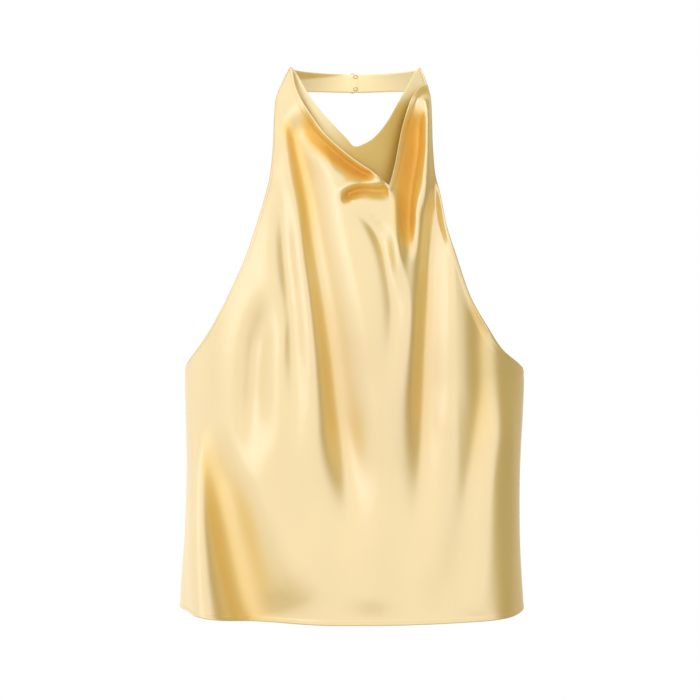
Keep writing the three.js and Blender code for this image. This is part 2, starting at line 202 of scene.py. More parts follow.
@dataclass(frozen=True)
class Form:
    """The plain form that the cloth takes, before its folds.

    Up to corner_lead under the underarm, the front reaches round to its side seams. Above that it ends at the
    armholes, part of the way round the figure. From middle_turn_z up to the yoke, the middle of the cloth turns from
    one spread to the other. The figure is an oval, squarer the larger its roundness.
    """

    underarm_z: float = -298.0
    yoke_z: float = -205.0
    corner_lead: float = 8.0
    middle_turn_z: float = -430.0
    roundness: float = 2.6

    def value(self, column: str, z: Points) -> Points:
        """Read one column of the sections.

        Args:
            column: the column's name.
            z: heights.

        Returns:
            The column's value at each height, on a cubic through the rows.
        """
        zs = np.array([s.z for s in SECTIONS], float)
        vs = np.array([getattr(s, column) for s in SECTIONS], float)
        slope = np.empty_like(vs)
        slope[1:-1] = (vs[2:] - vs[:-2]) / (zs[2:] - zs[:-2])
        slope[0] = (vs[1] - vs[0]) / (zs[1] - zs[0])
        slope[-1] = (vs[-1] - vs[-2]) / (zs[-1] - zs[-2])
        z = np.clip(z, zs[0], zs[-1])
        i = np.clip(np.searchsorted(zs, z, side="right") - 1, 0, len(zs) - 2)
        span = zs[i + 1] - zs[i]
        t = (z - zs[i]) / span
        t2, t3 = t * t, t * t * t
        return (
            vs[i] * (2 * t3 - 3 * t2 + 1)
            + vs[i + 1] * (3 * t2 - 2 * t3)
            + slope[i] * span * (t3 - 2 * t2 + t)
            + slope[i + 1] * span * (t3 - t2)
        )

    def side(self, share: Points, z: Points) -> tuple[Points, Points, Points]:
        """Read the outline on the side that a share lies on.

        Args:
            share: shares of the half width, negative on the left.
            z: heights.

        Returns:
            The outline's half width, the figure's, and the angle at which the cloth ends.
        """
        edge = np.where(share < 0, self.value("left", z), self.value("right", z))
        figure = np.where(z > self.underarm_z - self.corner_lead, self.value("figure", z), 0.0)
        figure = np.maximum(figure, edge)
        return edge, figure, np.arcsin(np.minimum(1.0, edge / figure))

    def angle(self, share: Points, z: Points) -> Points:
        """Turn shares of the half width into angles.

        Args:
            share: shares of the half width, negative on the left.
            z: heights.

        Returns:
            The angles from the middle.
        """
        edge = self.side(share, z)[2]
        settled = self.side(share, np.full_like(z, self.yoke_z))[2]
        turn = smooth_step((z - self.middle_turn_z) / (self.yoke_z - self.middle_turn_z))
        middle = np.where(z > self.yoke_z, edge, mix(np.pi / 2, settled, turn))
        return share * mix(middle, edge, np.minimum(1.0, share**EDGE_POWER))

    def place(self, angle: Points, z: Points) -> tuple[Points, Points]:
        """Find points of the plain front.

        Args:
            angle: angles from the middle.
            z: heights.

        Returns:
            The points and their outward directions.
        """
        figure = self.side(angle, z)[1]
        depth = self.value("depth", z)
        across, ahead = np.sin(angle), self.ahead(angle)
        y = self.value("centre", z) - depth * ahead - SEAM_GAP / 2
        power = self.roundness - 1
        out = np.stack([np.sign(across) * np.abs(across) ** power / figure, -(ahead**power) / depth, 0 * z], axis=-1)
        return np.stack([figure * across, y, z], axis=-1), unit(out)

    def ahead(self, angle: Points) -> Points:
        """Return the share of the depth that the full oval has at angles from the middle."""
        return np.maximum(0.0, 1 - np.abs(np.sin(angle)) ** self.roundness) ** (1 / self.roundness)

    def share(self, x: Points, z: Points) -> Points:
        """Return the share of the half width at which points of the front view lie."""
        edge, figure, angle = self.side(x, z)
        return np.clip(np.arcsin(np.clip(x, -edge, edge) / figure) / angle, -1.0, 1.0)


def beside(line: Line, x: Points, z: Points) -> tuple[Points, Points, Points]:
    """Measure places of the front view against a smooth line.

    Args:
        line: the points of the line, in front view.
        x: places across.
        z: heights.

    Returns:
        The distance to the line, the share of its length, and the side, which is negative on the left of a line that
        runs down.
    """
    path = curve_through(line, LINE_STEPS + 1)
    nearest = np.full(x.shape, np.inf)
    along = np.zeros(x.shape)
    turned = np.zeros(x.shape)
    for k in range(LINE_STEPS):
        (ax, az), (bx, bz) = path[k], path[k + 1]
        dx, dz = bx - ax, bz - az
        t = np.clip(((x - ax) * dx + (z - az) * dz) / (dx * dx + dz * dz), 0.0, 1.0)
        rx, rz = x - ax - dx * t, z - az - dz * t
        distance = np.hypot(rx, rz)
        closer = distance < nearest
        nearest = np.where(closer, distance, nearest)
        along = np.where(closer, (k + t) / LINE_STEPS, along)
        turned = np.where(closer, np.sign(rx * -dz + rz * dx), turned)
    return nearest, along, turned


def faded(along: Points, fade: tuple[float, float]) -> Points:
    """Let a fold die away at its ends.

    Args:
        along: shares of the fold's length.
        fade: the share of its length over which it comes in, and goes out.

    Returns:
        How much of the fold is there, from 0 to 1.
    """
    start = smooth_step(along / fade[0]) if fade[0] else 1.0
    end = smooth_step((1 - along) / fade[1]) if fade[1] else 1.0
    return start * end


@dataclass(frozen=True)
class Pleat:
    """A soft fall: the cloth steps in across the line from left to right and comes back out over its reach.

    The step's depth, its wall and its reach are given at the line's start and end.
    """

    line: Line
    drop: tuple[float, float]
    wall: tuple[float, float]
    reach: tuple[float, float]
    fade: tuple[float, float]

    def rise(self, x: Points, z: Points) -> Points:
        """Shape the cloth.

        Args:
            x: places across the front view.
            z: heights.

        Returns:
            How far the cloth stands out there.
        """
        distance, along, turned = beside(self.line, x, z)
        d = distance * turned
        step = 0.5 * (1 + np.tanh(d / mix(*self.wall, along)))
        back = 1 - smooth_step(d / mix(*self.reach, along))
        return -mix(*self.drop, along) * faded(along, self.fade) * step * back


@dataclass(frozen=True)
class Ripple:
    """A ridge, or a trough if its height is negative, with half breadths left and right of the line.

    Both are given at the line's start and end.
    """

    line: Line
    height: float
    left: tuple[float, float]
    right: tuple[float, float]
    fade: tuple[float, float]

    def rise(self, x: Points, z: Points) -> Points:
        """Shape the cloth.

        Args:
            x: places across the front view.
            z: heights.

        Returns:
            How far the cloth stands out there.
        """
        distance, along, turned = beside(self.line, x, z)
        breadth = np.where(turned < 0, mix(*self.left, along), mix(*self.right, along))
        return self.height * faded(along, self.fade) * bell(distance, breadth)


@dataclass(frozen=True)
class TurnedEdge:
    """The double cloth of a narrow turned edge, which stands out a little."""

    width: float
    height: float
    softness: float = 0.6

    def rise(self, distance: Points) -> Points:
        """Return how far the cloth stands out at distances from its edge."""
        return self.height * 0.5 * (1 - np.tanh((distance - self.width) / self.softness))


# The lines of three long falls, which the painted shade on their walls follows too
LOWER_LEFT_FALL = ((-150, -345), (-149, -379), (-144, -428), (-135, -478), (-125, -522), (-115, -552))
RIGHT_FALL = (
    (76, -95), (73, -133), (68, -182), (65, -232), (62, -282), (60, -331), (59, -380), (58, -428), (55, -490),
)
FAR_RIGHT_FALL = ((106, -190), (115, -232), (117, -282), (117, -331), (112, -380), (103, -428), (92, -490))

# The long falls of the front, from left to right
FRONT_PLEATS = (
    Pleat(LOWER_LEFT_FALL, drop=(9, 28), wall=(8, 21), reach=(28, 95), fade=(0.34, 0)),
    Pleat(
        ((-90, -205), (-97, -240), (-104, -282), (-107, -331), (-109, -410)),
        drop=(18, 18), wall=(10, 12), reach=(34, 38), fade=(0.35, 0.45),
    ),
    Pleat(
        ((-76, -90), (-75, -133), (-73, -182), (-68, -232), (-65, -282), (-63, -335), (-59, -400)),
        drop=(15, 17), wall=(8, 11), reach=(22, 30), fade=(0.3, 0.45),
    ),
    Pleat(
        (
            (-71, -38), (-62, -84), (-53, -133), (-46, -182), (-38, -232), (-31, -282), (-26, -331),
            (-20, -380), (-12, -428), (-4, -490),
        ),
        drop=(18, 32), wall=(6, 15), reach=(32, 66), fade=(0.08, 0.3),
    ),
    Pleat(
        ((-9, -143), (2, -150), (13, -160), (22, -177), (29, -205), (33, -240), (31, -282), (25, -340)),
        drop=(10, 9), wall=(5, 13), reach=(18, 28), fade=(0.2, 0.5),
    ),
    Pleat(RIGHT_FALL, drop=(16, 28), wall=(6, 15), reach=(26, 52), fade=(0.15, 0.45)),
    Pleat(FAR_RIGHT_FALL, drop=(6, 7), wall=(7, 12), reach=(24, 34), fade=(0.25, 0.5)),
)
# The soft tubes that the cloth makes beside the side seams
SIDE_SWELLS = (
    Ripple(
        ((-159, -325), (-159, -380), (-159, -428), (-158, -478), (-156, -522), (-153, -552)),
        height=42, left=(9, 11), right=(14, 38), fade=(0.65, 0),
    ),
    Ripple(
        ((152, -300), (155, -380), (155, -460), (153, -552)),
        height=16, left=(28, 35), right=(14, 14), fade=(0.3, 0),
    ),
)
# Faint waves between the long falls
SOFT_WAVES = (
    Ripple(
        ((-96, -340), (-93, -400), (-85, -470), (-70, -545)),
        height=3, left=(15, 24), right=(13, 26), fade=(0.3, 0.15),
    ),
    Ripple(
        ((-50, -320), (-44, -390), (-36, -455), (-21, -535)),
        height=2.5, left=(12, 19), right=(17, 23), fade=(0.25, 0.3),
    ),
    Ripple(
        ((12, -300), (19, -385), (20, -460), (15, -545)),
        height=3.5, left=(17, 25), right=(14, 22), fade=(0.35, 0.1),
    ),
    Ripple(
        ((86, -310), (86, -395), (79, -470), (66, -540)),
        height=3, left=(13, 18), right=(16, 24), fade=(0.2, 0.25),
    ),
    Ripple(
        ((134, -350), (133, -420), (128, -490), (119, -550)),
        height=2.5, left=(11, 17), right=(10, 15), fade=(0.3, 0.1),
    ),
)
# The cowl: the trough under its hemmed edge, the hollow beside its right leg, its roll and what falls from it
COWL_TROUGHS = (
    Ripple(
        ((-58, -24), (-50, -43), (-38, -65), (-18, -85), (-2, -98), (12, -106.5), (22, -111)),
        height=-13, left=(13, 10), right=(2.6, 2.2), fade=(0.45, 0.1),
    ),
    Ripple(
        ((70, -30), (65, -55), (63, -83), (58, -109), (54.5, -130), (53, -160), (53, -200)),
        height=-14, left=(19, 11), right=(4.5, 6), fade=(0.2, 0.3),
    ),
)
COWL_ROLL = (
    Pleat(
        ((34, -120), (24, -121), (12, -120.5), (2, -121), (-7, -124.5), (-11, -131), (-9, -141)),
        drop=(7, 13), wall=(2.4, 3), reach=(17, 13), fade=(0.08, 0.25),
    ),
    Ripple(
        ((30, -116), (20, -116), (8, -115), (-2, -117.5), (-11, -123), (-15, -132)),
        height=6, left=(8, 6), right=(4, 4), fade=(0.1, 0.3),
    ),
    Ripple(((40, -119), (42, -145), (42, -185), (46, -240)), height=6, left=(6, 8), right=(5, 7), fade=(0.15, 0.5)),
    Ripple(
        ((72, -22), (73, -45), (72, -80), (70.5, -115), (70, -150)),
        height=11, left=(8, 7), right=(9, 8), fade=(0.08, 0.3),
    ),
)
FRONT_FOLDS = (*FRONT_PLEATS, *SIDE_SWELLS, *SOFT_WAVES, *COWL_TROUGHS, *COWL_ROLL)

# The back's falls. Their places across are millimetres round from the middle of the back, negative on the left of the
# front view
BACK_FALLS = (
    Pleat(
        ((-150, -560), (-139, -480), (-128, -400), (-121, -335)),
        drop=(9, 4), wall=(11, 6), reach=(42, 22), fade=(0, 0.5),
    ),
    Pleat(
        ((-58, -330), (-66, -400), (-70, -470), (-84, -560)),
        drop=(5, 10), wall=(6, 13), reach=(24, 46), fade=(0.35, 0),
    ),
    Pleat(((12, -335), (7, -380), (5, -430), (0, -485)), drop=(6, 5), wall=(6, 9), reach=(20, 27), fade=(0.3, 0.5)),
    Pleat(
        ((72, -330), (64, -400), (67, -470), (59, -535)),
        drop=(8, 8), wall=(7, 12), reach=(30, 41), fade=(0.2, 0.45),
    ),
    Pleat(
        ((146, -395), (134, -460), (127, -520), (121, -560)),
        drop=(4, 10), wall=(6, 12), reach=(22, 47), fade=(0.4, 0),
    ),
)
# Where warm shade is painted: the walls of the long falls and of the fold at the lower left
PAINTED_SHADE_WALLS = (
    Ripple(
        ((-71, -46), (-62, -84), (-53, -133), (-46, -182), (-38, -232)),
        height=0.8, left=(4, 5), right=(10, 11), fade=(0.1, 0.6),
    ),
    Ripple(
        ((-46, -182), (-38, -232), (-31, -282), (-26, -331), (-20, -380), (-12, -430)),
        height=0.4, left=(4, 5), right=(11, 16), fade=(0.3, 0.4),
    ),
    Ripple(RIGHT_FALL[2:8], height=0.35, left=(3, 4), right=(10, 15), fade=(0.2, 0.4)),
    Ripple(FAR_RIGHT_FALL[:6], height=0.45, left=(3, 4), right=(13, 18), fade=(0.25, 0.45)),
    Ripple(LOWER_LEFT_FALL, height=0.55, left=(3, 4), right=(12, 36), fade=(0.34, 0)),
)

# The cowl's edge in front view, from the left neck point to its tip and on to the right one, and the facing's edge
NECKLINE_LEFT = (
    (-63.5, 4), (-59, -18), (-51, -36), (-42, -51), (-29, -68), (-17, -80), (-6, -89), (15, -104), (25, -111),
    (34, -119),
)
NECKLINE_RIGHT = (
    (34, -119), (37.5, -108), (40.5, -96), (44, -78), (47.5, -61), (52, -45), (57.5, -29), (66, -18),
    (74, -13),
)
FACING_EDGE = (
    (-66, 3.5), (-46.6, -28), (-35, -43), (-23.4, -56), (-9, -71), (0, -80), (9, -77.5), (19, -71.5),
    (32.5, -56), (48.6, -28.5), (67.5, 3.5),
)


# Finishes


def linear(red: int, green: int, blue: int) -> Colour:
    """Return a screen colour of 0 to 255 a channel as a shader's linear colour."""
    channels = [c / 255 for c in (red, green, blue)]
    return (*(c / 12.92 if c <= 0.04045 else ((c + 0.055) / 1.055) ** 2.4 for c in channels), 1.0)


class Graph:
    """A tree of nodes."""

    def __init__(self, tree: bpy.types.NodeTree) -> None:
        """Work on a tree.

        Args:
            tree: the tree.
        """
        self.nodes, self.links = tree.nodes, tree.links

    def node(self, kind: str, inputs: dict[str | int, object] | None = None, **settings: object) -> bpy.types.Node:
        """Add a node.

        Args:
            kind: the node's type.
            inputs: values for its sockets.
            settings: its own settings.

        Returns:
            The node.
        """
        made = self.nodes.new(kind)
        for name, value in settings.items():
            setattr(made, name, value)
        for name, value in (inputs or {}).items():
            made.inputs[name].default_value = value
        return made

    def wire(self, start: bpy.types.NodeSocket, end: bpy.types.NodeSocket) -> None:
        """Link one socket to another."""
        self.links.new(start, end)

    def connect(self, *wires: tuple[bpy.types.Node, str, bpy.types.Node, str | int]) -> None:
        """Link nodes, with each wire given as a node, its output, the next node and its input."""
        for start, output, end, way_in in wires:
            self.wire(start.outputs[output], end.inputs[way_in])


class Shader(Graph):
    """A material's node tree with its Principled shader."""

    def __init__(self, name: str) -> None:
        """Start a material.

        Args:
            name: the material's name.
        """
        self.material = bpy.data.materials.new(name)
        self.material.use_nodes = True
        super().__init__(self.material.node_tree)
        self.surface = self.nodes["Principled BSDF"]

    def noise(self, scale: Triple, detail: float) -> bpy.types.NodeSocket:
        """Add a noise on object coordinates.

        Args:
            scale: how many cells a metre along X, Y and Z.
            detail: octaves.

        Returns:
            The noise's value, from 0 to 1.
        """
        coord = self.node("ShaderNodeTexCoord")
        mapping = self.node("ShaderNodeMapping", {"Scale": scale})
        made = self.node("ShaderNodeTexNoise", {"Scale": 1.0, "Detail": detail})
        self.connect((coord, "Object", mapping, "Vector"), (mapping, "Vector", made, "Vector"))
        return made.outputs["Fac"]

    def tinted(self, source: bpy.types.NodeSocket, dark: Colour, light: Colour, low: float, high: float) -> None:
        """Colour the surface between two tones.

        Args:
            source: the value that chooses the tone.
            dark: the tone at low.
            light: the tone at high.
            low: the value of the dark tone.
            high: the value of the light tone.
        """
        ramp = self.node("ShaderNodeValToRGB")
        ramp.color_ramp.elements[0].position, ramp.color_ramp.elements[0].color = low, dark
        ramp.color_ramp.elements[1].position, ramp.color_ramp.elements[1].color = high, light
        self.wire(source, ramp.inputs["Fac"])
        self.wire(ramp.outputs["Color"], self.surface.inputs["Base Color"])

    def amount(self, name: str) -> bpy.types.NodeSocket:
        """Read one of the piece's attributes."""
        return self.node("ShaderNodeAttribute", attribute_name=name).outputs["Fac"]

    def ranged(self, name: str, target: str, low: float, high: float) -> None:
        """Let one of the piece's attributes move one of the shader's inputs.

        Args:
            name: the attribute, of 0 to 1.
            target: the input's name.
            low: the input at 0.
            high: the input at 1.
        """
        spread = self.node("ShaderNodeMapRange", {"To Min": low, "To Max": high})
        self.wire(self.amount(name), spread.inputs["Value"])
        self.wire(spread.outputs["Result"], self.surface.inputs[target])

    def toned(self, name: str, tone: Colour) -> None:
        """Shift the surface towards a tone where the piece's attribute asks for it.

        Args:
            name: the attribute, 0 for none of the tone and 1 for all of it.
            tone: the linear colour.
        """
        mixed = self.node("ShaderNodeMix", data_type="RGBA")
        base = self.surface.inputs["Base Color"]
        colours = [socket for socket in mixed.inputs if socket.type == "RGBA"]
        colours[1].default_value = tone
        self.wire(self.amount(name), mixed.inputs["Factor"])
        self.wire(base.links[0].from_socket, colours[0])
        self.wire(next(socket for socket in mixed.outputs if socket.type == "RGBA"), base)

    def bumped(self, source: bpy.types.NodeSocket, strength: float, distance: float) -> None:
        """Raise the surface a little.

        Args:
            source: the height, from 0 to 1.
            strength: how much of it shows.
            distance: metres that it stands for.
        """
        bump = self.node("ShaderNodeBump", {"Strength": strength, "Distance": distance})
        self.wire(source, bump.inputs["Height"])
        self.wire(bump.outputs["Normal"], self.surface.inputs["Normal"])


@dataclass(frozen=True)
class SatinFace:
    """The glossy face of the satin, with painted warm shade and a painted gold reflection, and duller, in its hollows
    and on the walls of its falls.
    """

    dark: Tone = (229, 188, 66)
    light: Tone = (235, 197, 76)
    hollow: Tone = (230, 184, 56)
    painted_reflection_depth: float = 0.65
    hollow_roughness: float = 0.75
    roughness: float = 0.34
    gloss: float = 0.9
    ior: float = 2.4
    clouds: Triple = (14.0, 14.0, 7.0)
    cloud_range: tuple[float, float] = (0.3, 0.62)
    yarn: Triple = (900.0, 900.0, 5200.0)
    relief: tuple[float, float] = (0.12, 0.0002)

    def material(self) -> bpy.types.Material:
        """Return the finish as a material."""
        made = Shader("satin face")
        made.tinted(made.noise(self.clouds, 2.0), linear(*self.dark), linear(*self.light), *self.cloud_range)
        # Painted warm shade and a painted gold reflection, by the amount of painted shade that each point carries
        made.toned("painted_shade", linear(*self.hollow))
        made.ranged("painted_shade", "Metallic", 0.0, self.painted_reflection_depth)
        made.ranged("painted_shade", "Roughness", self.roughness, self.hollow_roughness)
        made.surface.inputs["IOR"].default_value = self.ior
        made.surface.inputs["Specular IOR Level"].default_value = self.gloss
        made.bumped(made.noise(self.yarn, 2.0), *self.relief)
        return made.material


@dataclass(frozen=True)
class SatinReverse:
    """The matt wrong side of the satin, with painted light that makes it paler where the light from the neck falls on
    it.
    """

    dark: Tone = (226, 190, 96)
    light: Tone = (234, 200, 108)
    pale: Tone = (255, 238, 186)
    roughness: float = 0.5
    gloss: float = 0.8
    clouds: Triple = (18.0, 18.0, 10.0)
    cloud_range: tuple[float, float] = (0.35, 0.65)
    yarn: Triple = (5200.0, 5200.0, 900.0)
    relief: tuple[float, float] = (0.2, 0.0002)

    def material(self) -> bpy.types.Material:
        """Return the finish as a material."""
        made = Shader("satin reverse")
        made.tinted(made.noise(self.clouds, 3.0), linear(*self.dark), linear(*self.light), *self.cloud_range)
        # Painted light: paler where each point carries it
        made.toned("pale", linear(*self.pale))
        made.surface.inputs["Roughness"].default_value = self.roughness
        made.surface.inputs["Specular IOR Level"].default_value = self.gloss
        made.bumped(made.noise(self.yarn, 2.0), *self.relief)
        return made.material


@dataclass(frozen=True)
class Thread:
    """Thread in a tone of the cloth's colour."""

    name: str
    colour: Tone
    roughness: float = 0.5
    twist: Triple = (6000.0, 6000.0, 6000.0)
    twist_range: tuple[float, float] = (0.35, 0.6)
    relief: tuple[float, float] = (0.2, 0.0001)
    shade: float = 0.85

    def material(self) -> bpy.types.Material:
        """Return the finish as a material."""
        made = Shader(self.name)
        twist = made.noise(self.twist, 1.0)
        base = linear(*self.colour)
        made.tinted(twist, tuple(c * self.shade for c in base[:3]) + (1.0,), base, *self.twist_range)
        made.surface.inputs["Roughness"].default_value = self.roughness
        made.bumped(twist, *self.relief)
        return made.material


@dataclass
class Finishes:
    """The materials that the pieces share."""

    face: bpy.types.Material = field(default_factory=lambda: SatinFace().material())
    reverse: bpy.types.Material = field(default_factory=lambda: SatinReverse().material())
    thread: bpy.types.Material = field(default_factory=lambda: Thread("sewing thread", (244, 218, 138)).material())
    tack: bpy.types.Material = field(default_factory=lambda: Thread("tacking thread", (148, 112, 50)).material())


# Walls of cloth


def add_object(name: str, data: bpy.types.ID) -> bpy.types.Object:
    """Put a mesh, a light or a camera in the scene.

    Args:
        name: the object's name.
        data: what it shows. A mesh is in place already, in metres.

    Returns:
        The object, at the origin.
    """
    made = bpy.data.objects.new(name, data)
    bpy.context.scene.collection.objects.link(made)
    return made


def seat(piece: bpy.types.Object, slot: str, *nodes: str) -> None:
    """Ride a piece on the part's one body.

    Args:
        piece: the piece.
        slot: not used.
        nodes: the CAD nodes that it replaces.
    """
    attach(piece, "root")
    if nodes:
        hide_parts(*nodes)
    LOG.info("%s: %d vertices, %d faces", piece.name, len(piece.data.vertices), len(piece.data.polygons))


class Edge(Enum):
    """An edge of a wall's grid, with the axis that runs in from it and the end that it is."""

    LOW = (0, 0)
    HIGH = (0, -1)
    FIRST = (1, 0)
    LAST = (1, -1)


@dataclass
class Path:
    """A line on the cloth, in millimetres, with the cloth's outward directions along it."""

    points: Points
    out: Points

    def rest(self, start: int) -> "Path":
        """Return the line from one of its points to its end."""
        return Path(self.points[start:], self.out[start:])

    def lifted(self, height: float) -> "Path":
        """Return the line moved outwards."""
        return Path(self.points + self.out * height, self.out)


@dataclass
class Shell:
    """A closed wall of cloth on a grid of points of its outer face, rows up and columns across.

    The seams of two pieces run square to each other at the level rows and columns. The wall's edge is rounded by a
    bulge, a share of its thickness. Each point may carry an amount of painted warm shade and of painted light, from 0
    to 1, which its finishes read.
    """

    points: Points
    thickness: float = 1.0
    level_rows: tuple[int, ...] = ()
    level_columns: tuple[int, ...] = ()
    bulge: float = 0.35
    painted_shade: Points | None = None
    pale: Points | None = None

    def path(self, edge: Edge, inset: float) -> Path:
        """Trace a line that keeps its distance from an edge.

        Args:
            edge: the edge.
            inset: how far in from the edge, along the cloth.

        Returns:
            The line, one point for each grid line that starts at the edge.
        """
        axis, end = edge.value
        points, out = self.points, self.normals()
        if axis:
            points, out = points.swapaxes(0, 1), out.swapaxes(0, 1)
        if end:
            points, out = points[::-1], out[::-1]
        away = lengths(points, 0)
        place, normal = (
            np.stack([[np.interp(inset, away[:, c], grid[:, c, k]) for k in range(3)] for c in range(away.shape[1])])
            for grid in (points, out)
        )
        return Path(place, unit(normal))

    def normals(self) -> Points:
        """Return the outward directions, turned square to the seams at the named rows and columns."""
        n = np.cross(np.gradient(self.points, axis=1), np.gradient(self.points, axis=0))
        for row in self.level_rows:
            n[row, :, 2] = 0.0
        for column in self.level_columns:
            n[:, column, 1] = 0.0
        return unit(n)

    def rounded(self, inner: Points) -> Points:
        """Round the wall's edge.

        Args:
            inner: the inner face's points.

        Returns:
            Grid points halfway between the two faces, of which those at the edges are pushed out.
        """
        up, across = unit(np.gradient(self.points, axis=0)), unit(np.gradient(self.points, axis=1))
        push = np.zeros_like(self.points)
        push[0] -= up[0]
        push[-1] += up[-1]
        push[:, 0] -= across[:, 0]
        push[:, -1] += across[:, -1]
        return (self.points + inner) / 2 + push * self.bulge * self.thickness

    @staticmethod
    def faces(index: Points, loop: Points) -> list[Points]:
        """Join the points of the outer face, the inner face and the rounded edge.

        Args:
            index: the numbers of the outer face's points, as a grid. The inner face's follow them in the same order,
                and then the rounded edge's.
            loop: the numbers of the points round the grid's edge.

        Returns:
            The faces of the outer face, of the inner face, and of the edge's outer and inner halves.
        """
        count = index.size
        a, b, c, d = (part.ravel() for part in (index[:-1, :-1], index[:-1, 1:], index[1:, 1:], index[1:, :-1]))
        this = 2 * count + np.arange(len(loop))
        after, loop_after = np.roll(this, -1), np.roll(loop, -1)
        corners = (
            (a, b, c, d),
            (a + count, d + count, c + count, b + count),
            (loop_after, loop, this, after),
            (after, this, count + loop, count + loop_after),
        )
        return [np.stack(four, axis=1) for four in corners]

    def mesh(self, name: str, finishes: Finishes, face: Cloth = Cloth.FACE) -> bpy.types.Mesh:
        """Make the wall.

        Args:
            name: the mesh's name.
            finishes: the shared materials.
            face: what the outer face shows; the inner one shows the other.

        Returns:
            A closed mesh in metres with a UV map in metres of cloth.
        """
        rows, columns = self.points.shape[:2]
        count = rows * columns
        index = np.arange(count).reshape(rows, columns)
        loop = np.concatenate([index[0, :], index[1:, -1], index[-1, -2::-1], index[-2:0:-1, 0]])
        inner = self.points - self.normals() * self.thickness
        outer, inside, middle = (grid.reshape(-1, 3) for grid in (self.points, inner, self.rounded(inner)))
        verts = np.vstack([outer, inside, middle[loop]]) * MM
        sheets = self.faces(index, loop)
        faces = np.vstack(sheets)
        slots = np.concatenate([np.full(len(f), v) for f, v in zip(sheets, [face.value, 1 - face.value] * 2)])
        made = bpy.data.meshes.new(name)
        made.from_pydata(verts.tolist(), [], faces.tolist())
        made.materials.append(finishes.face)
        made.materials.append(finishes.reverse)
        made.polygons.foreach_set("material_index", slots.astype(np.int32))
        made.polygons.foreach_set("use_smooth", np.ones(len(faces), bool))
        cloth = np.stack([lengths(self.points, axis).ravel() for axis in (1, 0)], axis=1) * MM
        cloth = np.vstack([cloth, cloth, cloth[loop]])
        layer = made.uv_layers.new(name="cloth")
        corners = np.zeros(len(made.loops), np.int32)
        made.loops.foreach_get("vertex_index", corners)
        layer.data.foreach_set("uv", cloth[corners].astype(np.float32).ravel())
        # Per point amounts of painted warm shade and of painted light
        for tone, amount in (("painted_shade", self.painted_shade), ("pale", self.pale)):
            flat = np.zeros(count) if amount is None else amount.ravel()
            layer = made.attributes.new(tone, "FLOAT", "POINT")
            layer.data.foreach_set("value", np.concatenate([flat, flat, flat[loop]]).astype(np.float32))
        made.update()
        return made


# Sewing


class NodeTree(Graph):
    """A geometry node tree with named sizes, which works along lines."""

    def __init__(self, name: str) -> None:
        """Start a tree.

        Args:
            name: the tree's name.
        """
        self.group = bpy.data.node_groups.new(name, "GeometryNodeTree")
        super().__init__(self.group)
        self.sockets: dict[str, str] = {}
        for way in ("INPUT", "OUTPUT"):
            self.group.interface.new_socket("Geometry", in_out=way, socket_type="NodeSocketGeometry")
        self.start, self.end = self.node("NodeGroupInput"), self.node("NodeGroupOutput")

    def size(self, name: str, value: float) -> bpy.types.NodeSocket:
        """Add a named size.

        Args:
            name: the size's name.
            value: its value in metres if none is given.

        Returns:
            The socket that carries it.
        """
        socket = self.group.interface.new_socket(name, in_out="INPUT", socket_type="NodeSocketFloat")
        socket.default_value = value
        self.sockets[name] = socket.identifier
        return self.start.outputs[name]

    def close(self, geometry: bpy.types.NodeSocket, material: bpy.types.Material) -> None:
        """End the tree in real, smooth faces with a material.

        Args:
            geometry: what the tree made.
            material: its finish.
        """
        real = self.node("GeometryNodeRealizeInstances")
        smooth = self.node("GeometryNodeSetShadeSmooth")
        finish = self.node("GeometryNodeSetMaterial", {"Material": material})
        for end in (real, smooth, finish, self.end):
            self.wire(geometry, end.inputs["Geometry"])
            geometry = next(iter(end.outputs), None)

    def run(self, name: str, paths: list[Path], sizes: dict[str, float]) -> bpy.types.Object:
        """Work along lines.

        Args:
            name: the piece's name.
            paths: the lines.
            sizes: values in metres for the tree's named sizes.

        Returns:
            The piece, as a plain mesh.
        """
        mesh = bpy.data.meshes.new(name + "_lines")
        counts = [len(path.points) for path in paths]
        starts = np.concatenate([[0], np.cumsum(counts)])
        edges = [(s + k, s + k + 1) for s, c in zip(starts, counts) for k in range(c - 1)]
        mesh.from_pydata((np.vstack([p.points for p in paths]) * MM).tolist(), edges, [])
        out = mesh.attributes.new("out", "FLOAT_VECTOR", "POINT")
        out.data.foreach_set("vector", np.vstack([p.out for p in paths]).astype(np.float32).ravel())
        lines = add_object(name + "_lines", mesh)
        modifier = lines.modifiers.new(self.group.name, "NODES")
        modifier.node_group = self.group
        for size, value in sizes.items():
            modifier[self.sockets[size]] = value
        graph = bpy.context.evaluated_depsgraph_get()
        made = bpy.data.meshes.new_from_object(lines.evaluated_get(graph), depsgraph=graph)
        made.name = name
        lines.modifiers.clear()
        bpy.data.objects.remove(lines)
        return add_object(name, made)


@dataclass(frozen=True)
class Stitch:
    """The size of a kind of stitch, how far it stands off the cloth, and the seed of its small turns."""

    name: str
    pitch: float
    length: float
    width: float
    lift: float
    seed: int

    def sizes(self) -> dict[str, float]:
        """Return the stitch's sizes in metres, by the names that its tree has for them."""
        return {"Pitch": self.pitch * MM, "Length": self.length * MM, "Width": self.width * MM}


SEAM_STITCH = Stitch("stitch rows", pitch=2.4, length=1.9, width=0.28, lift=0.08, seed=7)
TACK_STITCH = Stitch("tacks", pitch=0.9, length=1.0, width=0.55, lift=0.1, seed=11)


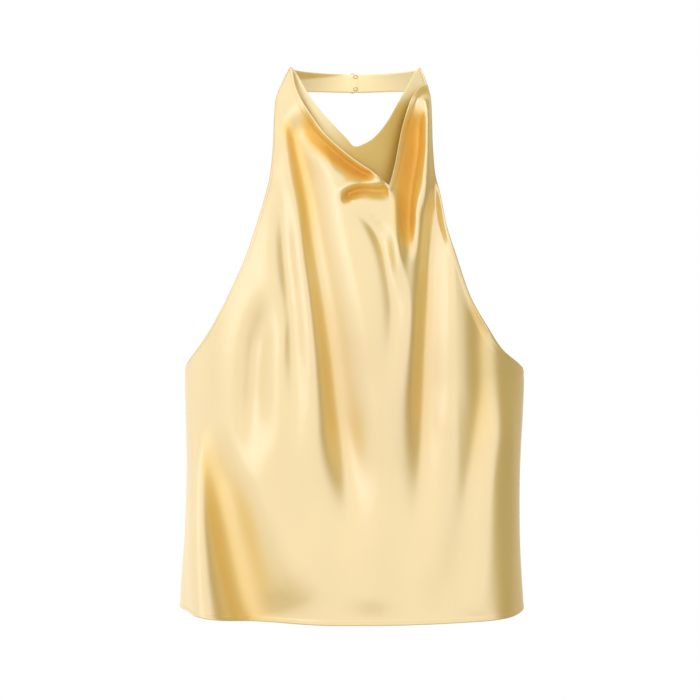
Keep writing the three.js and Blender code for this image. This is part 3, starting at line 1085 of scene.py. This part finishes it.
class StitchRow(NodeTree):
    """Rows of single stitches that lie on the cloth."""

    def __init__(self, stitch: Stitch, thread: bpy.types.Material) -> None:
        """Build the tree.

        Args:
            stitch: the kind of stitch.
            thread: the thread's finish.
        """
        super().__init__(stitch.name)
        pitch, length, width = (self.size(name, value) for name, value in stitch.sizes().items())
        curve = self.node("GeometryNodeMeshToCurve")
        spaced = self.node("GeometryNodeResampleCurve", mode="LENGTH")
        tangent = self.node("GeometryNodeInputTangent")
        out = self.node("GeometryNodeInputNamedAttribute", {"Name": "out"}, data_type="FLOAT_VECTOR")
        facing = self.node("FunctionNodeAxesToRotation", primary_axis="Z", secondary_axis="X")
        turn = self.node("FunctionNodeRandomValue", {"Seed": stitch.seed}, data_type="FLOAT_VECTOR")
        low, high = (next(i for i in turn.inputs if i.name == n and i.type == "VECTOR") for n in ("Min", "Max"))
        low.default_value, high.default_value = tuple(-t for t in STITCH_TURN), STITCH_TURN
        turned = self.node("FunctionNodeRotateRotation", rotation_space="LOCAL")
        bead = self.node("GeometryNodeMeshUVSphere", {"Segments": 8, "Rings": 5, "Radius": 0.5})
        shape = self.node("ShaderNodeCombineXYZ")
        stretched = self.node("GeometryNodeTransform")
        placed = self.node("GeometryNodeInstanceOnPoints")
        self.wire(pitch, spaced.inputs["Length"])
        self.wire(next(o for o in turn.outputs if o.type == "VECTOR"), turned.inputs["Rotate By"])
        for axis, socket in (("X", length), ("Y", width), ("Z", width)):
            self.wire(socket, shape.inputs[axis])
        self.connect(
            (self.start, "Geometry", curve, "Mesh"),
            (curve, "Curve", spaced, "Curve"),
            (out, "Attribute", facing, "Primary Axis"),
            (tangent, "Tangent", facing, "Secondary Axis"),
            (facing, "Rotation", turned, "Rotation"),
            (bead, "Mesh", stretched, "Geometry"),
            (shape, "Vector", stretched, "Scale"),
            (spaced, "Curve", placed, "Points"),
            (stretched, "Geometry", placed, "Instance"),
            (turned, "Rotation", placed, "Rotation"),
        )
        self.close(placed.outputs["Instances"], thread)


class RoundCord(NodeTree):
    """Round cords along lines, closed at both ends."""

    def __init__(self, name: str, finish: bpy.types.Material) -> None:
        """Build the tree.

        Args:
            name: the tree's name.
            finish: the cord's finish.
        """
        super().__init__(name)
        radius = self.size("Radius", 0.00055)
        curve = self.node("GeometryNodeMeshToCurve")
        ring = self.node("GeometryNodeCurvePrimitiveCircle", {"Resolution": 12})
        swept = self.node("GeometryNodeCurveToMesh", {"Fill Caps": True})
        self.wire(radius, ring.inputs["Radius"])
        self.connect(
            (self.start, "Geometry", curve, "Mesh"),
            (curve, "Curve", swept, "Curve"),
            (ring, "Curve", swept, "Profile Curve"),
        )
        self.close(swept.outputs["Mesh"], finish)


@dataclass
class Sewing:
    """The stitches, which are made by the same two trees everywhere."""

    finishes: Finishes

    def __post_init__(self) -> None:
        """Build the trees."""
        self.trees = {
            SEAM_STITCH: StitchRow(SEAM_STITCH, self.finishes.thread),
            TACK_STITCH: StitchRow(TACK_STITCH, self.finishes.tack),
        }

    def sew(self, name: str, paths: list[Path], stitch: Stitch = SEAM_STITCH) -> bpy.types.Object:
        """Sew along lines and seat the stitches.

        Args:
            name: the piece's name.
            paths: the lines.
            stitch: the kind of stitch.

        Returns:
            The stitches, as one piece.
        """
        piece = self.trees[stitch].run(name, [path.lifted(stitch.lift) for path in paths], stitch.sizes())
        seat(piece, "loop_cord")
        return piece


# The cut pieces


@dataclass
class FrontPanel:
    """The front, from hem to cowl.

    Its columns meet the cowl's edge left and right of its tip. Its rows run level over the waist, follow the hem
    closely at its turned edge and crowd towards the cowl's edge, where they lean with it. The hem hangs lowest in its
    middle and is lifted at the left, at a share of the half width, over a breadth, by a height.
    """

    form: Form
    columns_left: int = 148
    columns_right: int = 82
    tip_share: float = 0.2857
    rows_hem: int = 52
    rows_waist: int = 26
    rows_neck: int = 92
    edge_rows: tuple[float, ...] = (0, 0.8, 2, 3, 3.6, 4, 4.4, 5, 6, 8, 10.5)
    first_row: float = 1.5
    crowding: tuple[float, float] = (1.4, 0.4)
    leaning: float = 2.5
    hem_z: float = -541.0
    hem_drop: float = 9.5
    hem_lift: Triple = (-0.7, 0.22, 4.0)
    seam_lead: float = 0.1
    thickness: float = 1.2
    neck_edge: TurnedEdge = TurnedEdge(4.4, 1.5)
    hem_edge: TurnedEdge = TurnedEdge(4.0, 0.4)
    arm_edge: TurnedEdge = TurnedEdge(4.0, 0.5)
    arm_fade: float = 12.0
    shade_start: float = 1.0
    shade_depth: float = 8.0
    stitch_inset: float = 3.3

    def rise(self, x: Points, z: Points) -> Points:
        """Sum the folds.

        Args:
            x: places across the front view.
            z: heights.

        Returns:
            How far the cloth stands out there.
        """
        return sum(fold.rise(x, z) for fold in FRONT_FOLDS)

    def painted_shade_share(self, x: Points, z: Points) -> Points:
        """Find where warm shade is painted.

        Args:
            x: places across the front view.
            z: heights.

        Returns:
            How much painted shade they take, by how deep in the cowl's hollows or on a shaded wall they lie, from 0 to
            1.
        """
        deep = -sum(fold.rise(x, z) for fold in (*COWL_TROUGHS, COWL_ROLL[0]))
        walls = np.max([wall.rise(x, z) for wall in PAINTED_SHADE_WALLS], axis=0)
        return np.maximum(smooth_step((deep - self.shade_start) / self.shade_depth), walls)

    def edges(self, share: Points, x: Points, z: Points) -> Points:
        """Turn the edges of the neckline and the armholes.

        Args:
            share: shares of the half width.
            x: the places across that they have.
            z: heights.

        Returns:
            How far the turned edges stand out there.
        """
        neck = np.minimum(beside(NECKLINE_LEFT, x, z)[0], beside(NECKLINE_RIGHT, x, z)[0])
        arm = (1 - np.abs(share)) * self.form.side(share, z)[0]
        above = smooth_step((z - self.form.underarm_z) / self.arm_fade)
        return np.maximum(self.neck_edge.rise(neck), self.arm_edge.rise(arm) * above)

    def surface(self, share: Points, z: Points) -> Points:
        """Find points of the folded front.

        Args:
            share: shares of the half width, negative on the left.
            z: heights.

        Returns:
            The points.
        """
        place = self.form.place(self.form.angle(share, z), z)[0]
        quiet = smooth_step((1 - np.abs(share)) / self.seam_lead)
        place[..., 1] -= self.rise(place[..., 0], z) * quiet + self.edges(share, place[..., 0], z)
        return place

    def grid(self) -> Points:
        """Return the outer face's points, rows up and columns across."""
        left, right = self.columns_left + 1, self.columns_right + 1
        share = np.concatenate([np.linspace(-1, self.tip_share, left)[:-1], np.linspace(self.tip_share, 1, right)])
        neck = np.vstack([curve_through(NECKLINE_LEFT, left)[:-1], curve_through(NECKLINE_RIGHT, right)])
        end_share = self.form.share(neck[:, 0], neck[:, 1])
        end_share[0], end_share[-1] = -1.0, 1.0
        where, breadth, lift = self.hem_lift
        hem = self.hem_z - self.hem_drop * np.cos(share * np.pi / 2)
        hem += lift * bell(share - where, breadth)
        low = np.array(self.edge_rows) / (self.form.underarm_z - self.hem_z)
        low = np.concatenate([low, np.linspace(self.first_row * low[-1], 1, self.rows_hem + 1)[:-1]])[:, None]
        mid = np.linspace(0, 1, self.rows_waist + 1)[:-1, None]
        step = np.linspace(0, 1, self.rows_neck + 1)[:, None]
        climb = step * (self.crowding[0] - self.crowding[1] * step)
        lean = climb**self.leaning
        under, yoke = self.form.underarm_z, self.form.yoke_z
        z = np.vstack([mix(hem, under, low), mix(under, yoke, mid) + 0 * hem, mix(yoke, neck[:, 1], climb)])
        shares = np.vstack([share + 0 * low, share + 0 * mid, mix(share, end_share, lean)])
        place = self.surface(shares, z)
        place[..., 1] -= self.hem_edge.rise(z - hem)
        return place

    def build(self, finishes: Finishes, sewing: Sewing) -> bpy.types.Object:
        """Make the front and sew its edges.

        Args:
            finishes: the shared materials.
            sewing: the stitches.

        Returns:
            The front.
        """
        points = self.grid()
        # Painted warm shade in the cowl's hollows and on the walls of the falls
        painted_shade = self.painted_shade_share(points[..., 0], points[..., 2])
        shell = Shell(points, self.thickness, level_rows=(0,), level_columns=(0, -1), painted_shade=painted_shade)
        inset = self.stitch_inset
        armholes = -self.rows_neck - self.rows_waist
        rows = [shell.path(Edge.LOW, inset), shell.path(Edge.HIGH, inset)]
        rows += [shell.path(edge, inset).rest(armholes) for edge in (Edge.FIRST, Edge.LAST)]
        sewing.sew("front_stitches", rows)
        piece = add_object("front_satin", shell.mesh("front_satin", finishes))
        seat(piece, "satin", "front_panel")
        return piece


@dataclass
class BackPanel:
    """The low back, from hem to its upper edge.

    Its plain folds run from hem to edge. Each has its place in degrees round from the left seam, its rise and its
    breadth in degrees. The falls are placed by the arc, which is how many millimetres a degree takes.
    """

    form: Form
    columns: int = 130
    rows: int = 60
    hem_z: float = -541.0
    hem_drop: float = 5.0
    top_drop: float = 1.0
    dip: float = 34.0
    dip_breadth: float = 1.1
    arc: float = 2.6
    seam_lead: float = 0.3
    thickness: float = 1.2
    stitch_inset: float = 3.3
    folds: tuple[Triple, ...] = ((34, -4, 8), (71, -5, 10), (108, -4, 9), (143, -5, 8))

    def grid(self) -> Points:
        """Return the outer face's points, from the right side seam round to the left."""
        turn = np.linspace(0, np.pi, self.columns + 1)[None, :]
        up = np.linspace(0, 1, self.rows + 1)[:, None]
        across, behind = np.cos(turn), np.sin(turn)
        hem = self.hem_z - self.hem_drop * behind
        top = self.form.underarm_z - self.top_drop - self.dip * smooth_step(behind * self.dip_breadth)
        z = mix(hem, top, up)
        held = np.minimum(z, self.form.underarm_z - self.form.corner_lead)
        edge = np.where(across < 0, self.form.value("left", held), self.form.value("right", held))
        depth = self.form.value("back", z)
        degrees = 180 - np.degrees(turn)
        rise = sum(height * bell(degrees - where, breadth) for where, height, breadth in self.folds)
        rise = rise + sum(fall.rise((degrees - 90) * self.arc + 0 * z, z) for fall in BACK_FALLS)
        place = np.stack([edge * across, depth * behind + SEAM_GAP / 2, z], axis=-1)
        out = unit(np.stack([across / edge, behind / depth, np.zeros_like(z)], axis=-1))
        return place + out * (rise * smooth_step(behind / self.seam_lead))[..., None]

    def build(self, finishes: Finishes, sewing: Sewing) -> bpy.types.Object:
        """Make the back and sew its edges.

        Args:
            finishes: the shared materials.
            sewing: the stitches.

        Returns:
            The back.
        """
        shell = Shell(self.grid(), self.thickness, level_rows=(0, -1), level_columns=(0, -1))
        sewing.sew("back_stitches", [shell.path(edge, self.stitch_inset) for edge in (Edge.LOW, Edge.HIGH)])
        piece = add_object("back_satin", shell.mesh("back_satin", finishes))
        seat(piece, "satin", "back_panel")
        return piece


@dataclass
class CowlFacing:
    """The facing behind the cowl, which shows the satin's wrong side.

    It lies behind the front by the side, top and low gaps. Under its upper edge it is narrower by side_inset, a share
    of its width. It has painted light, paler towards its left and its top, from a place across and a height, over the
    reach of each.
    """

    form: Form
    columns: int = 90
    rows: int = 40
    hem_z: float = -140.0
    side_gap: float = 2.2
    top_gap: float = 5.0
    low_gap: float = 20.0
    side_inset: float = 0.035
    inset_end: float = 3.0
    widening: float = 1.5
    seam_lead: float = 0.1
    thickness: float = 1.0
    painted_light_x: float = 4.0
    painted_light_z: float = -40.0
    painted_light_reach: tuple[float, float] = (34.0, 20.0)
    painted_light_top: float = 0.8

    def grid(self) -> Points:
        """Return the points of the side that is seen from the front."""
        top = curve_through(FACING_EDGE, self.columns + 1)
        up = np.linspace(0, 1, self.rows + 1)[:, None]
        sideways = np.linspace(-1, 1, self.columns + 1)
        z = mix(self.hem_z, top[:, 1], up)
        share = mix(sideways, self.form.share(top[:, 0], top[:, 1]), up**self.widening)
        share = share * (1 - self.side_inset * smooth_step((1 - up) * self.inset_end))
        place, out = self.form.place(share * self.form.side(share, z)[2], z)
        clear = mix(mix(self.low_gap, self.top_gap, up), self.side_gap, share**EDGE_POWER)
        place = place - out * clear[..., None]
        rise = np.minimum(0.0, sum(f.rise(place[..., 0], z) for f in (*FRONT_PLEATS, *COWL_TROUGHS)))
        place[..., 1] -= rise * smooth_step((1 - np.abs(self.form.share(place[..., 0], z))) / self.seam_lead)
        return place

    def build(self, finishes: Finishes) -> bpy.types.Object:
        """Make the facing.

        Args:
            finishes: the shared materials.

        Returns:
            The facing.
        """
        points = self.grid()
        # Painted light, paler towards the left and the top
        left = smooth_step((self.painted_light_x - points[..., 0]) / self.painted_light_reach[0])
        top = smooth_step((points[..., 2] - self.painted_light_z) / self.painted_light_reach[1])
        shell = Shell(points, self.thickness, pale=np.maximum(left, self.painted_light_top * top))
        piece = add_object("facing_satin", shell.mesh("facing_satin", finishes, Cloth.REVERSE))
        seat(piece, "satin_reverse", "cowl_facing")
        return piece


@dataclass
class NeckStrap:
    """One half of the neck strap, from its neck point round to the nape.

    The halves' ends stand a little off the middle, at split_x. The inner face has painted light all over, and the left
    one's upper edge has painted shade from shade_x outwards, down to a share of its height that grows over
    shade_reach.
    """

    form: Form
    side: Side
    columns: int = 60
    rows: int = 20
    seam: tuple[float, float] = (-22.0, 4.5)
    nape: tuple[float, float] = (-9.3, 8.7)
    nape_y: float = 88.0
    split_x: float = 3.7
    thickness: float = 2.0
    stitch_inset: float = 1.6
    shade_x: float = -8.0
    shade_reach: float = 52.0
    shade_depth: float = 0.42
    shade_growth: float = 0.8
    shade_edge: float = 0.12

    def grid(self) -> Points:
        """Return the outer face's points."""
        sign = self.side.value
        up = np.linspace(0, 1, self.rows + 1)[:, None]
        if sign < 0:
            up = 1 - up
        seam_z = mix(*self.seam, up)
        edge, figure, angle = self.form.side(np.full_like(seam_z, sign), seam_z)
        ahead = self.form.ahead(angle)
        seam_y = self.form.value("centre", seam_z) - self.form.value("depth", seam_z) * ahead + SEAM_GAP
        width = np.minimum(edge, figure)
        last = np.arccos((sign * self.split_x + SEAM_GAP / 2) / width)
        turn = np.linspace(0, 1, self.columns + 1)[None, :] * last
        behind = np.sin(np.minimum(turn, np.pi / 2))
        z = mix(seam_z, mix(*self.nape, up), smooth_step(behind))
        return np.stack([sign * width * np.cos(turn), seam_y + (self.nape_y - seam_y) * np.sin(turn), z], axis=-1)

    def roll_shade(self, x: Points) -> Points:
        """Paint shade on the strap's upper edge, where it rolls in near the left neck point.

        Args:
            x: places across of the grid.

        Returns:
            How much of the shade is there, from 0 to 1.
        """
        if self.side is Side.RIGHT:
            return np.zeros_like(x)
        depth = self.shade_depth * np.clip((self.shade_x - x) / self.shade_reach, 0, 1) ** self.shade_growth
        up = np.linspace(1, 0, self.rows + 1)[:, None]
        return smooth_step((up - 1 + depth) / self.shade_edge) * (depth > 0)

    def build(self, finishes: Finishes, sewing: Sewing) -> bpy.types.Object:
        """Make the strap's half and sew its edges.

        Args:
            finishes: the shared materials.
            sewing: the stitches.

        Returns:
            The half.
        """
        name = "strap_" + self.side.name.lower()
        points = self.grid()
        # Painted light on the inner face, with less of it where the rolled edge has painted shade
        shell = Shell(points, self.thickness, pale=1 - self.roll_shade(points[..., 0]))
        edges = [shell.path(edge, self.stitch_inset) for edge in (Edge.LOW, Edge.HIGH)]
        sewing.sew(name + "_stitches", edges)
        piece = add_object(name, shell.mesh(name, finishes))
        seat(piece, "satin", "neck_strap_" + self.side.name.lower())
        return piece


@dataclass
class NapeFastening:
    """The two covered buttons on the left half's end and the cord loops on the right half's.

    A button's profile runs from its middle at the strap to its crown, in shares of its radius. Under gather_height
    the gathers draw it in. The loops' feet stand at foot_x, on both sides of the button's height.
    """

    button_x: float = -2.0
    nape_y: float = 88.0
    heights: tuple[tuple[str, float], ...] = (("upper", 6.6), ("lower", -6.2))
    button_radius: float = 2.9
    cord_radius: float = 0.55
    foot_x: float = 8.2
    foot_half_gap: float = 0.85
    profile: Line = (
        (0, 0), (0.5, 0.02), (0.84, 0.06), (0.97, 0.2), (1, 0.36), (0.96, 0.56), (0.82, 0.78), (0.52, 0.96), (0, 1.04),
    )
    profile_points: int = 25
    segments: int = 72
    gathers: int = 18
    gather_height: float = 0.4
    gather_depth: float = 0.035
    loop_points: int = 80
    strap_wall: float = 2.0
    tack_gap: float = 0.3
    tack_x: float = 1.3
    tack_ring: tuple[float, float] = (2.1, 1.7)
    tack_open: float = 0.4
    tack_points: int = 40

    def button(self, name: str, height: float, finishes: Finishes) -> bpy.types.Object:
        """Make a button: a dome of satin, drawn in behind in small gathers.

        Args:
            name: the piece's name.
            height: of the button's middle.
            finishes: the shared materials.

        Returns:
            The button.
        """
        profile = curve_through(self.profile, self.profile_points) * self.button_radius
        turn = np.linspace(0, 2 * np.pi, self.segments + 1)[:-1]
        radius, out = profile[1:-1, 0, None], profile[1:-1, 1, None]
        low = smooth_step(1 - out / (self.gather_height * self.button_radius))
        radius = radius * (1 - self.gather_depth * low * (1 + np.cos(self.gathers * turn)))
        x, z = self.button_x + radius * np.cos(turn), height + radius * np.sin(turn)
        y = self.nape_y + SEAM_GAP + out + 0 * turn
        poles = [(self.button_x, self.nape_y + SEAM_GAP + out, height) for out in profile[[0, -1], 1]]
        verts = np.vstack([np.stack([x, y, z], axis=-1).reshape(-1, 3), poles]) * MM
        count, last = self.segments, len(verts) - 2 - self.segments
        base, crown = len(verts) - 2, len(verts) - 1
        faces = []
        for k in range(count):
            n = (k + 1) % count
            faces += [(ring + k, ring + count + k, ring + count + n, ring + n) for ring in range(0, last, count)]
            faces += [(base, k, n), (crown, last + n, last + k)]
        mesh = bpy.data.meshes.new(name)
        mesh.from_pydata(verts.tolist(), [], faces)
        mesh.polygons.foreach_set("use_smooth", np.ones(len(faces), bool))
        mesh.materials.append(finishes.face)
        return add_object(name, mesh)

    def loop(self, height: float) -> Path:
        """Lay a loop round its button.

        Args:
            height: of the button's middle.

        Returns:
            The loop's line, from the strap's end round the button and back.
        """
        reach = self.button_radius + SEAM_GAP + self.cord_radius
        foot = self.foot_x - self.button_x
        turns = np.radians(np.arange(60, 301, 30))
        round_button = [(reach * math.cos(turn), reach * math.sin(turn)) for turn in turns]
        line = ((foot, self.foot_half_gap), *round_button, (foot, -self.foot_half_gap))
        flat = curve_through(line, self.loop_points)
        y = np.full(len(flat), self.nape_y + SEAM_GAP + self.cord_radius)
        points = np.stack([flat[:, 0] + self.button_x, y, flat[:, 1] + height], axis=1)
        return Path(points, np.tile((0.0, 1.0, 0.0), (len(flat), 1)))

    def build(self, finishes: Finishes, sewing: Sewing) -> None:
        """Make the buttons, their loops and the tacks that hold them.

        Args:
            finishes: the shared materials.
            sewing: the stitches.
        """
        cords = RoundCord("loop cord", finishes.thread)
        tacks = []
        for place, height in self.heights:
            button = self.button("button_" + place, height, finishes)
            seat(button, "covered_button", "nape_button_" + place)
            loop = cords.run("loop_" + place, [self.loop(height)], {"Radius": self.cord_radius * MM})
            seat(loop, "loop_cord", "nape_loop_" + place)
            inner_y = self.nape_y - self.strap_wall - self.tack_gap
            turn = np.linspace(self.tack_open, 2 * np.pi - self.tack_open, self.tack_points)
            x, z = self.tack_x + self.tack_ring[0] * np.cos(turn), height + self.tack_ring[1] * np.sin(turn)
            ring = np.stack([x, inner_y + 0 * turn, z], axis=1)
            tacks.append(Path(ring, np.tile((0.0, -1.0, 0.0), (len(ring), 1))))
        sewing.sew("fastening_tacks", tacks, TACK_STITCH)


# Studio


def aim(thing: bpy.types.Object, place: Triple, target: Triple) -> None:
    """Put a light somewhere and turn it to a point."""
    thing.location = place
    thing.rotation_euler = (Vector(target) - Vector(place)).to_track_quat("-Z", "Y").to_euler()


@dataclass(frozen=True)
class Softbox:
    """A rectangular studio light aimed at a point."""

    name: str
    place: Triple
    target: Triple
    size: tuple[float, float]
    power: float

    def build(self) -> None:
        """Hang the light."""
        light = bpy.data.lights.new(self.name, "AREA")
        light.shape = "RECTANGLE"
        light.size, light.size_y = self.size
        light.energy = self.power
        aim(add_object(self.name, light), self.place, self.target)


@dataclass(frozen=True)
class NeckSpot:
    """A soft narrow spot that opens up the neck ring."""

    power: float
    place: Triple = (0.3, -1.5, 1.0)
    target: Triple = (0.0, 0.08, 0.03)
    reach: float = 0.15
    softness: float = 0.12

    def build(self) -> None:
        """Hang the light."""
        light = bpy.data.lights.new("neck spot", "SPOT")
        light.energy = self.power
        light.spot_size = 2 * math.atan(self.reach / (Vector(self.target) - Vector(self.place)).length)
        light.spot_blend = 1.0
        light.shadow_soft_size = self.softness
        aim(add_object("neck spot", light), self.place, self.target)


@dataclass
class Studio:
    """The camera, the lights and the pale floor, in metres.

    The camera stands straight in front, level with middle_z, and sees the part's middle at middle_x pixels. The gloss
    mirrors pale walls. Each has its direction in degrees from the front round to the viewer's right, and how bright it
    is, and all of them darken below. A soft light from overhead and all round falls on the cloth.
    """

    distance: float = 2.6
    sensor: float = 36.0
    mm_a_pixel: float = 1.02
    pixels: int = 700
    middle_x: float = 354.5
    middle_z: float = -0.281
    floor_z: float = -1.15
    floor_half: float = 1.2
    floor_grain: Triple = (40.0, 40.0, 40.0)
    floor_tones: tuple[Colour, Colour] = ((0.66, 0.65, 0.63, 1.0), (0.7, 0.69, 0.67, 1.0))
    key_place: Triple = (-2.2, -1.9, 0.6)
    key_target: Triple = (0.0, 0.0, -0.28)
    key_size: tuple[float, float] = (1.8, 2.2)
    key_power: float = 8.5
    spot_power: float = 60.0
    soft: float = 0.88
    soft_spread: tuple[float, float] = (0.6, 1.45)
    strength: float = 1.53
    below: tuple[float, float] = (-0.75, -0.3)
    below_share: float = 0.12
    walls: tuple[tuple[float, float], ...] = (
        (-179, 0.9), (-150, 0.95), (-115, 1.02), (-60, 0.9), (-12, 1.0), (38, 1.0),
        (76, 0.1), (120, 0.16), (150, 0.32), (168, 0.8), (179, 0.9),
    )

    def camera(self) -> None:
        """Put the camera at the photograph's place."""
        data = bpy.data.cameras.new("camera")
        data.sensor_width = self.sensor
        data.lens = self.sensor * self.distance / (self.pixels * self.mm_a_pixel * MM)
        data.clip_start, data.clip_end = 0.05, 60.0
        made = add_object("camera", data)
        made.location = ((self.pixels / 2 - self.middle_x) * self.mm_a_pixel * MM, -self.distance, self.middle_z)
        made.rotation_euler = (math.pi / 2, 0.0, 0.0)
        bpy.context.scene.camera = made

    def lights(self) -> None:
        """Hang the softbox and the spot."""
        Softbox("key", self.key_place, self.key_target, self.key_size, self.key_power).build()
        NeckSpot(power=self.spot_power).build()

    def surround(self) -> None:
        """Set the walls that the gloss mirrors, the soft light from all round and the white behind the top."""
        world = bpy.data.worlds.new("studio")
        world.use_nodes = True
        world.node_tree.nodes.clear()
        graph = Graph(world.node_tree)
        coord = graph.node("ShaderNodeTexCoord")
        split = graph.node("ShaderNodeSeparateXYZ")
        flip = graph.node("ShaderNodeMath", {1: -1.0}, operation="MULTIPLY")
        azimuth = graph.node("ShaderNodeMath", operation="ARCTAN2")
        spread = graph.node("ShaderNodeMapRange", {"From Min": -math.pi, "From Max": math.pi})
        ramp = graph.node("ShaderNodeValToRGB")
        ramp.color_ramp.interpolation = "EASE"
        for direction, level in self.walls:
            ramp.color_ramp.elements.new(0.5 + direction / 360).color = (level, level, level, 1.0)
        for end in (0, -1):
            ramp.color_ramp.elements.remove(ramp.color_ramp.elements[end])
        (low, high), dim = self.below, self.strength * self.below_share
        levels = {"From Min": low, "From Max": high, "To Min": dim, "To Max": self.strength}
        horizon = graph.node("ShaderNodeMapRange", levels, interpolation_type="SMOOTHSTEP")
        low, high = self.soft_spread
        levels = {"From Min": -1.0, "To Min": self.soft * low, "To Max": self.soft * high}
        overhead = graph.node("ShaderNodeMapRange", levels)
        around, fill = graph.node("ShaderNodeBackground"), graph.node("ShaderNodeBackground")
        white = graph.node("ShaderNodeBackground", {"Color": (1.0, 1.0, 1.0, 1.0)})
        path = graph.node("ShaderNodeLightPath")
        lit, both = graph.node("ShaderNodeMixShader"), graph.node("ShaderNodeMixShader")
        out = graph.node("ShaderNodeOutputWorld")
        graph.connect(
            (coord, "Generated", split, "Vector"),
            (split, "Y", flip, 0),
            (split, "X", azimuth, 0),
            (flip, "Value", azimuth, 1),
            (azimuth, "Value", spread, "Value"),
            (spread, "Result", ramp, "Fac"),
            (ramp, "Color", around, "Color"),
            (split, "Z", horizon, "Value"),
            (horizon, "Result", around, "Strength"),
            (split, "Z", overhead, "Value"),
            (overhead, "Result", fill, "Strength"),
            (path, "Is Glossy Ray", lit, "Fac"),
            (fill, "Background", lit, 1),
            (around, "Background", lit, 2),
            (path, "Is Camera Ray", both, "Fac"),
            (lit, "Shader", both, 1),
            (white, "Background", both, 2),
            (both, "Shader", out, "Surface"),
        )
        world.cycles.sampling_method = "NONE"
        bpy.context.scene.world = world

    def floor(self) -> None:
        """Lay the pale floor."""
        mesh = bpy.data.meshes.new("floor")
        half = self.floor_half
        corners = [(-half, -half), (half, -half), (half, half), (-half, half)]
        mesh.from_pydata([(x, y, self.floor_z) for x, y in corners], [], [(0, 1, 2, 3)])
        made = add_object("floor", mesh)
        paper = Shader("pale paper")
        paper.tinted(paper.noise(self.floor_grain, 2.0), *self.floor_tones, 0.3, 0.7)
        paper.surface.inputs["Roughness"].default_value = 0.9
        mesh.materials.append(paper.material)

    def build(self) -> None:
        """Set up the studio."""
        self.camera()
        self.lights()
        self.surround()
        self.floor()
        view = bpy.context.scene.view_settings
        view.view_transform = "Standard"
        view.look = "None"
        view.exposure = 0.0


def main() -> None:
    """Build the studio and the top, piece by piece."""
    logging.basicConfig(level=logging.INFO, format="%(message)s")
    Studio().build()
    finishes = Finishes()
    sewing = Sewing(finishes)
    form = Form()
    FrontPanel(form).build(finishes, sewing)
    BackPanel(form).build(finishes, sewing)
    CowlFacing(form).build(finishes)
    for side in Side:
        NeckStrap(form, side).build(finishes, sewing)
    NapeFastening().build(finishes, sewing)


if __name__ == "__main__":
    main()
